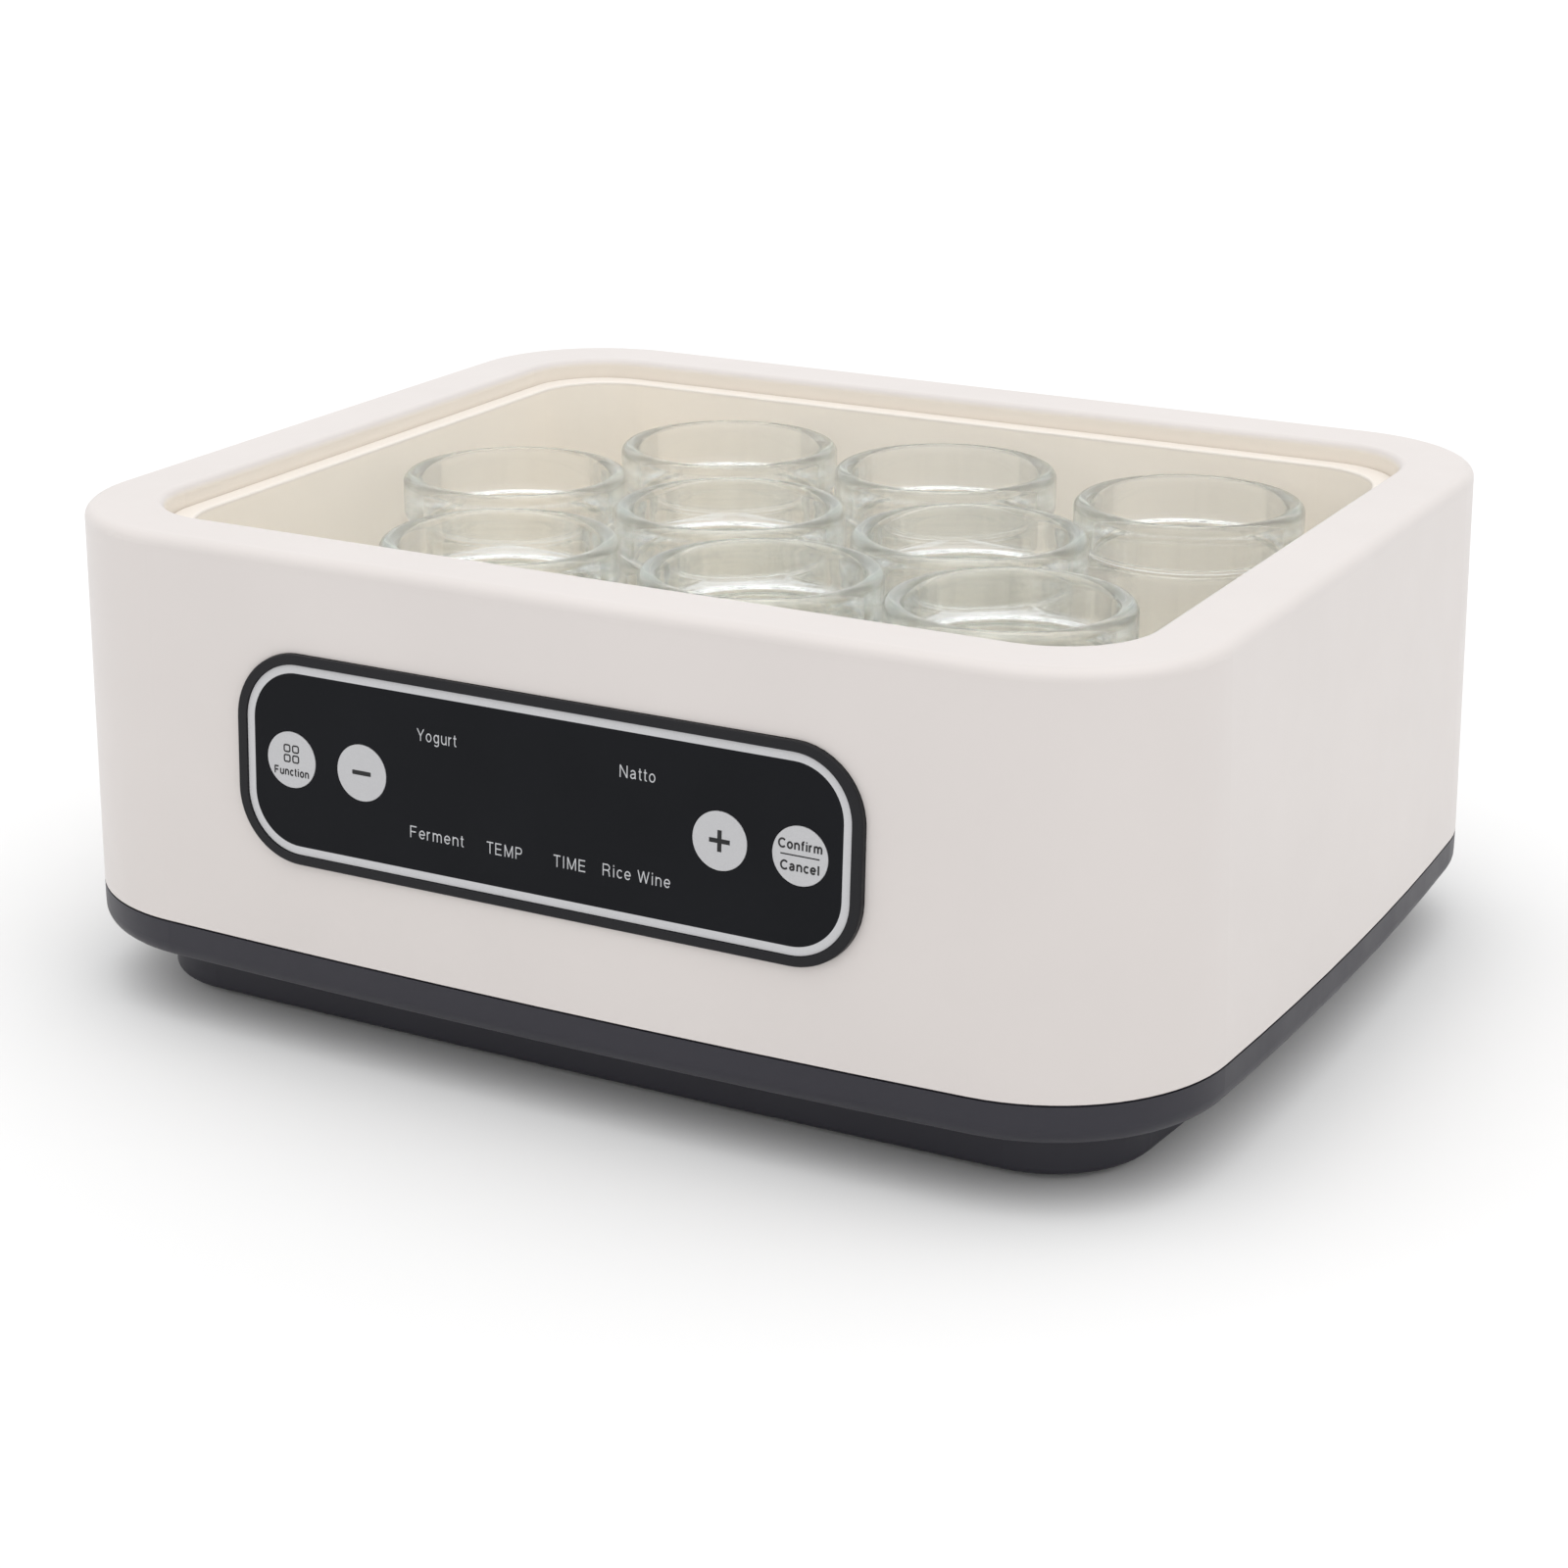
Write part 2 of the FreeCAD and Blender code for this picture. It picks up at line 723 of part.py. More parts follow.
def make_bezel():
    """Frame of the panel, with a plug that snaps into the housing's window."""
    frame = plate(panel_length / 2, panel_height / 2, panel_corner_radius, -panel_seat_depth, panel_proud)
    frame = frame.makeFillet(panel_rounding, horizontal_edges(frame, panel_proud))
    plug = plate(plug_half_x, plug_half_y, plug_corner_radius, plug_back, -panel_seat_depth)
    pieces = [frame, plug]
    hook_back = -panel_seat_depth - hook_depth
    hook_catch = -panel_seat_depth - hook_reach
    for x in (-hook_spread, 0.0, hook_spread):
        left = x - hook_width / 2
        right = x + hook_width / 2
        for side in (-1, 1):
            edge = side * plug_half_y
            inner = edge - side * hook_thickness
            tip = edge + side * hook_bump
            pieces.append(box(left, right, min(inner, edge), max(inner, edge), hook_back, -panel_seat_depth))
            pieces.append(box(left, right, min(inner, tip), max(inner, tip), hook_back, hook_catch))
    for x, y in board_screw_places:
        pieces.append(rod(board_post_radius, x, y, board_front, plug_back + plug_depth / 2))
    bezel = fuse_all(pieces)
    recess = plate(film_length / 2 + slip_clearance, film_height / 2 + slip_clearance,
                   film_corner_radius + slip_clearance, film_back, panel_proud + overshoot)
    bezel = bezel.cut(recess)
    for x in key_places.values():
        bezel = bezel.cut(rod(key_radius + 2 * key_clearance, x, -key_drop,
                              film_back - 2 * key_travel, film_back))
        bezel = bezel.cut(rod(key_stem_radius + 2 * key_clearance, x, -key_drop, board_front, film_back))
    bezel = bezel.cut(box(-display_length / 2 - slip_clearance, display_length / 2 + slip_clearance,
                          -display_height / 2 - slip_clearance, display_height / 2 + slip_clearance,
                          board_front, film_back))
    for x, y in pipe_places:
        bezel = bezel.cut(rod(pipe_radius + thread_clearance, x, y, board_front, film_back))
    for x, y in board_screw_places:
        bezel = bezel.cut(rod(small_screw_radius + thread_clearance, x, y, board_front,
                              board_front + small_screw_length))
    return bezel


board_screw_places = mirrored_places(board_length / 2 - board_screw_inset,
                                     board_height / 2 - board_screw_inset)
pipe_places = mirrored_places(pipe_place_x, pipe_place_y)
add("panel_bezel", placed(make_bezel(), panel_face))

film = plate(film_length / 2, film_height / 2, film_corner_radius, film_back, film_front)
for key_x in key_places.values():
    film = film.cut(rod(key_radius + key_clearance, key_x, -key_drop,
                        film_back - overshoot, film_front + overshoot))
add("panel_overlay", placed(film, panel_face))

for key_name, key_x in key_places.items():
    disc = rod(key_radius, key_x, -key_drop, film_back, film_front)
    disc = disc.makeFillet(key_rounding, horizontal_edges(disc, film_front))
    stem = rod(key_stem_radius, key_x, -key_drop, stem_tip, film_back + film_thickness / 2)
    add(key_name, placed(disc.fuse(stem).removeSplitter(), panel_face))
    switch_name = key_name.replace("key_", "switch_")
    switch_body = block(switch_side, switch_side, switch_body_depth, key_x, -key_drop, board_front)
    plunger = rod(plunger_radius, key_x, -key_drop, board_front + switch_body_depth, plunger_top)
    add(switch_name, placed(switch_body.fuse(plunger).removeSplitter(), panel_face))

# ---------------------------------------------------------------- control board

board = plate(board_length / 2, board_height / 2, board_corner_radius, board_back, board_front)
for x, y in board_screw_places:
    board = board.cut(rod(small_screw_radius + slip_clearance, x, y,
                          board_back - overshoot, board_front + overshoot))
add("control_board", placed(board, panel_face))

add("board_screws", placed(Part.makeCompound([
    screw_up(x, y, board_back, small_screw_radius, small_screw_head_radius,
             small_screw_head_height, small_screw_length)
    for x, y in board_screw_places
]), panel_face))

display_depth = film_back - display_setback - board_front
display = block(display_length, display_height, display_depth, 0, 0, board_front)
add("display_module", placed(display, panel_face))

add("indicator_leds", placed(Part.makeCompound([
    block(led_length, led_height, led_depth, x, y, board_front) for x, y in pipe_places
]), panel_face))

light_pipes = []
for x, y in pipe_places:
    pipe = rod(pipe_radius, x, y, board_front + led_depth, film_back)
    light_pipes.append(pipe.fuse(rod(pipe_flange_radius, x, y, plug_back - pipe_flange_depth, plug_back)))
add("light_pipes", placed(Part.makeCompound(light_pipes), panel_face))

add("controller_chip", placed(
    block(chip_side, chip_side, chip_depth, chip_place_x, 0, board_back - chip_depth), panel_face))

connector_y = -board_height / 2 + connector_height
connector = block(connector_length, connector_height, connector_depth, connector_place_x, connector_y,
                  board_back - connector_depth)
add("board_connector", placed(connector, panel_face))

# ---------------------------------------------------------------- heater

heating_plate = plate(plate_half_x, plate_half_y, plate_corner_radius, plate_bottom, tub_bottom)
for x, y in pin_places:
    heating_plate = heating_plate.cut(rod(pin_radius + slip_clearance, x, y,
                                          plate_bottom - overshoot, tub_bottom + overshoot))
add("heating_plate", heating_plate)


def make_element():
    """Heater wire laid to and fro under the plate, with both ends at the right."""
    turn = element_pitch / 2
    last = element_runs - 1
    edges = []
    right = element_half_x + element_tail
    for i, y in enumerate(element_y):
        leftward = i % 2 == 0
        near = right if i in (0, last) else element_half_x - turn
        far = -(element_half_x - turn)
        ends = (near, far) if leftward else (far, near)
        edges.append(Part.makeLine(Vector(ends[0], y, element_z), Vector(ends[1], y, element_z)))
        if i < last:
            side = -1 if leftward else 1
            centre_x = side * (element_half_x - turn)
            crown = Vector(centre_x + side * turn, y + turn, element_z)
            turned = Vector(centre_x, y + 2 * turn, element_z)
            edges.append(Part.Arc(Vector(centre_x, y, element_z), crown, turned).toShape())
    path = Part.Wire(edges)
    start = Vector(right, element_y[0], element_z)
    ring = Part.Wire([Part.makeCircle(element_radius, start, Vector(-1, 0, 0))])
    return path.makePipeShell([ring], True, False)


add("heating_element", make_element())

pad = plate(pad_half_x, pad_half_y, plate_corner_radius, pad_bottom, pad_top)
for x, y in pin_places:
    pad = pad.cut(rod(pin_radius + slip_clearance, x, y, pad_bottom - overshoot, pad_top + overshoot))
for length, y in ((sensor_side, sensor_y), (fuse_link_length, link_y)):
    pad = pad.cut(block(length + 2 * pad_window_room, sensor_side + 2 * slip_clearance,
                        pad_thickness + 2 * overshoot, sensor_x, y, pad_bottom - overshoot))
add("insulation_pad", pad)

add("temperature_sensor",
    block(sensor_side, sensor_side, sensor_thickness, sensor_x, sensor_y, plate_bottom - sensor_thickness))
link_z = plate_bottom - fuse_link_radius
link_start = Vector(sensor_x - fuse_link_length / 2, link_y, link_z)
add("thermal_fuse", Part.makeCylinder(fuse_link_radius, fuse_link_length, link_start, Vector(1, 0, 0)))

retainer_bottom = pad_bottom - retainer_thickness
add("heater_retainers", Part.makeCompound([
    rod(retainer_radius, x, y, retainer_bottom, pad_bottom).cut(
        rod(pin_radius + thread_clearance, x, y, retainer_bottom - overshoot, pad_bottom + overshoot))
    for x, y in pin_places
]))

# ---------------------------------------------------------------- power board

power_board = block(power_board_length, power_board_width, board_thickness,
                    power_board_x, power_board_y, power_board_bottom)
for x, y in power_places:
    power_board = power_board.cut(rod(small_screw_radius + slip_clearance, x, y,
                                      power_board_bottom - overshoot, power_board_top + overshoot))
add("power_board", power_board)

power_screws = []
for x, y in power_places:
    screw = screw_up(x, y, 0, small_screw_radius, small_screw_head_radius,
                     small_screw_head_height, small_screw_length)
    screw.rotate(Vector(x, y, 0), Vector(1, 0, 0), 180)
    screw.translate(UP * power_board_top)
    power_screws.append(screw)
add("power_board_screws", Part.makeCompound(power_screws))


def on_board(length, width, height, dx, dy):
    """A block-shaped component that stands on the power board."""
    return block(length, width, height, power_board_x + dx, power_board_y + dy, power_board_top)


add("relay", on_board(relay_length, relay_width, relay_height, relay_x, relay_y))

core = on_board(core_length, core_width, core_height, transformer_x, transformer_y)
winding = on_board(winding_length, winding_width, winding_height, transformer_x, transformer_y)
add("transformer", core.fuse(winding).removeSplitter())

capacitor_top = power_board_top + capacitor_height
capacitor = rod(capacitor_radius, power_board_x + capacitor_x, power_board_y + capacitor_y,
                power_board_top, capacitor_top)
add("filter_capacitor", capacitor.makeFillet(capacitor_rounding, horizontal_edges(capacitor, capacitor_top)))


def make_mains_fuse():
    """Glass tube with metal caps, held in two clips on the board."""
    middle = Vector(power_board_x + fuse_x, power_board_y + fuse_y, power_board_top + fuse_axis_height)
    right = Vector(1, 0, 0)
    start = middle - right * (fuse_tube_length / 2)
    pieces = [Part.makeCylinder(fuse_tube_radius, fuse_tube_length, start, right)]
    for along in (0, fuse_tube_length - fuse_cap_length):
        cap_start = start + right * along
        pieces.append(Part.makeCylinder(fuse_cap_radius, fuse_cap_length, cap_start, right))
        clip_x = cap_start.x + fuse_clip_inset + fuse_clip_thickness / 2
        pieces.append(block(fuse_clip_thickness, fuse_clip_width, fuse_axis_height,
                            clip_x, middle.y, power_board_top))
    return fuse_all(pieces)


add("mains_fuse", make_mains_fuse())

terminal_x = power_board_x + power_board_length / 2 - terminal_inset
heater_terminal = block(heater_terminal_width, heater_terminal_length, terminal_height,
                        terminal_x - heater_terminal_width / 2, power_board_y, power_board_top)
terminal_y = power_board_y + power_board_width / 2 - terminal_inset
mains_terminal = block(mains_terminal_length, mains_terminal_width, terminal_height,
                       inlet_x, terminal_y - mains_terminal_width / 2, power_board_top)
lead_entry_z = power_board_top + lead_entry_height
add("heater_terminal", heater_terminal)
add("mains_terminal", mains_terminal)

ribbon_y = power_board_y - power_board_width / 2 + header_inset
add("ribbon_header", block(connector_length, connector_height, header_height, connector_place_x,
                           ribbon_y, power_board_top))
sensor_header_x = power_board_x - power_board_length / 2 + header_inset
sensor_header_y = power_board_y - sensor_header_drop
add("sensor_header", block(connector_height, connector_length, header_height, sensor_header_x,
                           sensor_header_y, power_board_top))

# ---------------------------------------------------------------- leads

ribbon_start = panel_face.multVec(Vector(connector_place_x, connector_y - connector_height / 2,
                                         board_back - connector_depth / 2))
ribbon_top = ribbon_start.z - seat_clearance
ribbon_path = route([
    Vector(connector_place_x, ribbon_start.y, ribbon_top),
    Vector(connector_place_x, ribbon_start.y, ribbon_run_z),
    Vector(connector_place_x, ribbon_y, ribbon_run_z),
    Vector(connector_place_x, ribbon_y, power_board_top + header_height),
], ribbon_bend)
ribbon_section = box(connector_place_x - ribbon_width / 2, connector_place_x + ribbon_width / 2,
                     ribbon_start.y - ribbon_thickness / 2, ribbon_start.y + ribbon_thickness / 2,
                     ribbon_top, ribbon_top + overshoot)
bottom_face = min(ribbon_section.Faces, key=lambda face: face.CenterOfMass.z)
add("ribbon_cable", ribbon_path.makePipeShell([bottom_face.OuterWire], True, False))

element_end_x = element_half_x + element_tail
aside_x = element_end_x + lead_aside
terminal_away_x = terminal_x + 2 * lead_bend
back_entry_y = power_board_y + heater_terminal_pitch / 2
front_entry_y = power_board_y - heater_terminal_pitch / 2
heater_leads = [
    lead([
        Vector(element_end_x, element_y[-1], element_z),
        Vector(aside_x, element_y[-1], element_z),
        Vector(aside_x, element_y[-1] - lead_step, lead_run_z),
        Vector(terminal_away_x, back_entry_y, lead_entry_z),
        Vector(terminal_x, back_entry_y, lead_entry_z),
    ], lead_radius, lead_bend),
    lead([
        Vector(element_end_x, element_y[0], element_z),
        Vector(aside_x, element_y[0], element_z),
        Vector(aside_x - lead_step, element_y[0] + lead_step, lead_run_z),
        Vector(aside_x - lead_bend, 0, lead_run_z),
        Vector(terminal_away_x, front_entry_y, lead_entry_z),
        Vector(terminal_x, front_entry_y, lead_entry_z),
    ], lead_radius, lead_bend),
]
add("heater_leads", Part.makeCompound(heater_leads))

header_top = power_board_top + header_height
sensor_leads = []
for side in (-1, 1):
    run_z = lead_run_z + side * lead_pair_gap / 2
    start_x = sensor_x + side * sensor_side / 4
    header_y = sensor_header_y + lead_step + side * lead_pair_gap / 2
    sensor_leads.append(lead([
        Vector(start_x, sensor_y, plate_bottom - sensor_thickness),
        Vector(start_x, sensor_y, run_z),
        Vector(sensor_header_x, header_y, run_z),
        Vector(sensor_header_x, header_y, header_top),
    ], lead_radius, lead_bend))
add("sensor_leads", Part.makeCompound(sensor_leads))

fuse_leads = []
for side in (-1, 1):
    run_z = lead_run_z + side * lead_pair_gap / 2
    start_x = sensor_x + side * fuse_link_length / 2
    turn_x = start_x + side * fuse_lead_tail
    header_y = sensor_header_y - lead_step + side * lead_pair_gap / 2
    fuse_leads.append(lead([
        Vector(start_x, link_y, link_z),
        Vector(turn_x, link_y, link_z),
        Vector(turn_x, link_y, run_z),
        Vector(sensor_header_x, header_y, run_z),
        Vector(sensor_header_x, header_y, header_top),
    ], lead_radius, lead_bend))
add("fuse_leads", Part.makeCompound(fuse_leads))

# ---------------------------------------------------------------- mains inlet


def inlet_blade(x):
    """One contact: a round pin that turns down into a flat tab below the inlet."""
    root = inlet_back + inlet_tab_cover
    pin = rod(inlet_pin_radius, x, 0, root, -inlet_pin_setback)
    pin = pin.makeFillet(inlet_pin_radius * inlet_pin_tip, horizontal_edges(pin, -inlet_pin_setback))
    tab = box(x - inlet_tab_width / 2, x + inlet_tab_width / 2, -inlet_tab_length, inlet_pin_radius,
              root - inlet_tab_thickness, root)
    return pin.fuse(tab).removeSplitter()


inlet_back = -inlet_flange_depth - inlet_depth
blades = [inlet_blade(side * inlet_pin_pitch / 2) for side in (-1, 1)]
flange = plate(inlet_flange_length / 2, inlet_flange_height / 2, inlet_flange_corner, -inlet_flange_depth, 0)
flange = flange.makeFillet(inlet_flange_rounding, horizontal_edges(flange, 0))
inlet_body = plate(inlet_length / 2, inlet_body_height / 2, inlet_body_corner,
                   inlet_back, -inlet_flange_depth)
socket = plate(socket_length / 2, socket_height / 2, socket_height / 2 - 0.01, -socket_depth, overshoot)
inlet = flange.fuse(inlet_body).cut(socket)
for blade in blades:
    inlet = inlet.cut(blade)
add("mains_inlet", placed(inlet.removeSplitter(), inlet_face))
add("inlet_pins", placed(Part.makeCompound(blades), inlet_face))

inlet_leads = []
tab_middle = inlet_back + inlet_tab_cover - inlet_tab_thickness / 2
for side in (-1, 1):
    tab_foot = inlet_face.multVec(Vector(side * inlet_pin_pitch / 2, -inlet_tab_length, tab_middle))
    tab_foot.z -= slip_clearance
    inlet_leads.append(lead([
        tab_foot,
        Vector(tab_foot.x, tab_foot.y, tub_bottom - 2 * lead_bend),
        Vector(tab_foot.x, tub_half_y - lead_step, lead_run_z),
        Vector(tab_foot.x, terminal_y + 2 * lead_bend, lead_entry_z),
        Vector(tab_foot.x, terminal_y, lead_entry_z),
    ], lead_radius, lead_bend))
add("inlet_leads", Part.makeCompound(inlet_leads))

# ---------------------------------------------------------------- jars


def make_jar():
    """A glass jar turned about its axis, standing on z = 0."""
    lip = jar_lip_radius
    mouth = lip - jar_lip_wall
    groove = lip - jar_groove_depth
    body = lip - jar_body_step
    inner = body - jar_side_wall
    punt = body - jar_punt_margin
    collar_z = jar_height - jar_collar_height
    groove_z = collar_z - jar_groove_depth
    land_z = groove_z - jar_groove_land
    shoulder_z = land_z - jar_shoulder_height

    def at(radius, z):
        """A point of the profile."""
        return Vector(radius, 0, z)

    def quarter(centre_r, centre_z, size, start, end):
        """A quarter circle from one compass angle to another, in degrees."""
        angles = (start, (start + end) / 2, end)
        ends = [at(centre_r + size * math.cos(math.radians(a)), centre_z + size * math.sin(math.radians(a)))
                for a in angles]
        return Part.Arc(*ends).toShape()

    def line(*points):
        """Straight edges from point to point."""
        return [Part.makeLine(one, two) for one, two in zip(points, points[1:])]

    rounding = jar_lip_rounding
    edges = line(at(0, jar_punt_depth), at(punt - jar_punt_depth, jar_punt_depth), at(punt, 0),
                 at(body - jar_heel_radius, 0))
    edges.append(quarter(body - jar_heel_radius, jar_heel_radius, jar_heel_radius, -90, 0))
    edges += line(at(body, jar_heel_radius), at(body, shoulder_z))
    shoulder_mid = at(groove + (body - groove) * math.sqrt(0.5),
                      land_z - jar_shoulder_height * jar_shoulder_sag)
    edges.append(Part.Arc(at(body, shoulder_z), shoulder_mid, at(groove, land_z)).toShape())
    edges += line(at(groove, land_z), at(groove, groove_z))
    edges.append(quarter(groove, collar_z, jar_groove_depth, -90, 0))
    edges += line(at(lip, collar_z), at(lip, jar_height - rounding))
    edges.append(quarter(lip - rounding, jar_height - rounding, rounding, 0, 90))
    edges += line(at(lip - rounding, jar_height), at(mouth + rounding, jar_height))
    edges.append(quarter(mouth + rounding, jar_height - rounding, rounding, 90, 180))
    edges += line(at(mouth, jar_height - rounding), at(mouth, land_z), at(inner, shoulder_z),
                  at(inner, jar_floor + jar_inner_heel_radius))
    edges.append(quarter(inner - jar_inner_heel_radius, jar_floor + jar_inner_heel_radius,
                         jar_inner_heel_radius, 0, -90))
    edges += line(at(inner - jar_inner_heel_radius, jar_floor), at(0, jar_floor), at(0, jar_punt_depth))
    return Part.Face(Part.Wire(edges)).revolve(Vector(0, 0, 0), UP, 360)


jar_shape = make_jar()
for row, nudges in enumerate(jar_nudges):
    stagger = -jar_pitch / 4 if row % 2 else jar_pitch / 4
    for column, (nudge_x, nudge_y) in enumerate(nudges):
        jar = jar_shape.copy()
        jar.translate(Vector(
            (column - (jar_columns - 1) / 2) * jar_pitch + stagger + jars_shift_x + nudge_x,
            (row - (jar_rows - 1) / 2) * jar_row_pitch + jars_shift_y + nudge_y,
            tub_floor_top,
        ))
        add("jar_" + str(row * jar_columns + column + 1), jar)

# ---------------------------------------------------------------- write

os.makedirs("parts", exist_ok=True)
for node_name, node_shape in parts.items():
    node_shape.exportStep("parts/" + node_name + ".step")
    print(node_name, len(node_shape.Solids), round(node_shape.Volume, 1))
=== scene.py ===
"""Yogurt maker: the finishes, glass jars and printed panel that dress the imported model.

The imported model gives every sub-part its place. Moulded parts keep their shape
and get a finish each. The nine jars are turned again as smooth glass, and the
lines and words of the control panel are added as thin printed pieces.
"""

import json
import logging
import math
from dataclasses import dataclass, field
from enum import Enum
from typing import Optional, Protocol, Sequence

import bmesh
import bpy
from mathutils import Matrix, Vector


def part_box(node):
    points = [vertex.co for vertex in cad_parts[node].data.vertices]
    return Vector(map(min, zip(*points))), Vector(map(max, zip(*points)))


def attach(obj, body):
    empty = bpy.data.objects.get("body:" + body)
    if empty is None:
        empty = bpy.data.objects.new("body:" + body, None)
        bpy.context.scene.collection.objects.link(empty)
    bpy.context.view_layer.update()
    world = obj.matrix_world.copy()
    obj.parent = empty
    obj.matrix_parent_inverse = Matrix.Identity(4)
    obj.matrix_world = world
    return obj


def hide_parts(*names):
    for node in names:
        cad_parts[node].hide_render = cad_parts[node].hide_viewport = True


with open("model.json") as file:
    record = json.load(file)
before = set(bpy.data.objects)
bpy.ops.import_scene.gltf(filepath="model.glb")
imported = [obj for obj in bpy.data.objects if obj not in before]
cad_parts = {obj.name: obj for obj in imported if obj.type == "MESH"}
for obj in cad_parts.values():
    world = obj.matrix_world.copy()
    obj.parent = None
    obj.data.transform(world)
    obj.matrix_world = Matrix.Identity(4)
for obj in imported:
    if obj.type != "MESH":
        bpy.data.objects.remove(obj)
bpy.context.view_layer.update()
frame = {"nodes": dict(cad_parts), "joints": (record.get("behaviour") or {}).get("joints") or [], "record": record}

logging.basicConfig(level=logging.INFO, format="%(levelname)s %(message)s")
log = logging.getLogger("yogurt_maker")

Colour = tuple[float, float, float]
Socket = bpy.types.NodeSocket
Shape = bmesh.types.BMesh
Piece = bpy.types.Object
MM = 0.001
HAIR = 0.002 * MM
JARS = 9
JAR_TURN = 37


class Body(Enum):
    """The bodies that new pieces ride on, apart from the jars and keys."""

    APPLIANCE = "body"


class Slot(Enum):
    """Material slots of the model, one for each real material."""

    CREAM_SHELL = "cream_shell"
    CREAM_TUB = "cream_tub"
    CHARCOAL_BASE = "charcoal_base"
    FOOT_RUBBER = "foot_rubber"
    BEZEL_BLACK = "bezel_black"
    FILM_BLACK = "film_black"
    KEY_GREY = "key_grey"
    JAR_GLASS = "jar_glass"
    HEATER_ALUMINIUM = "heater_aluminium"
    HEATER_SLEEVE = "heater_sleeve"
    INSULATION_FELT = "insulation_felt"
    CIRCUIT_BOARD = "circuit_board"
    COMPONENT_BLACK = "component_black"
    CONNECTOR_WHITE = "connector_white"
    RELAY_BLUE = "relay_blue"
    CAPACITOR_SLEEVE = "capacitor_sleeve"
    TRANSFORMER_CORE = "transformer_core"
    FUSE_GLASS = "fuse_glass"
    LED_CLEAR = "led_clear"
    PIPE_CLEAR = "pipe_clear"
    SCREW_STEEL = "screw_steel"
    CONTACT_BRASS = "contact_brass"
    LEAD_SLEEVE = "lead_sleeve"
    RIBBON_GREY = "ribbon_grey"


def tone(red: int, green: int, blue: int) -> Colour:
    """Linear colour of a display colour.

    Args:
        red: Red from 0 to 255.
        green: Green from 0 to 255.
        blue: Blue from 0 to 255.

    Returns:
        The three linear parts, from 0 to 1.
    """

    def linear(value: float) -> float:
        """Linear value of one display part."""
        return value / 12.92 if value <= 0.04045 else ((value + 0.055) / 1.055) ** 2.4

    return linear(red / 255), linear(green / 255), linear(blue / 255)


def shaded(colour: Colour, factor: float) -> tuple[float, float, float, float]:
    """A colour made lighter or darker, with full cover."""
    return tuple(min(1.0, part * factor) for part in colour) + (1.0,)


# ------------------------------------------------------------------ finishes


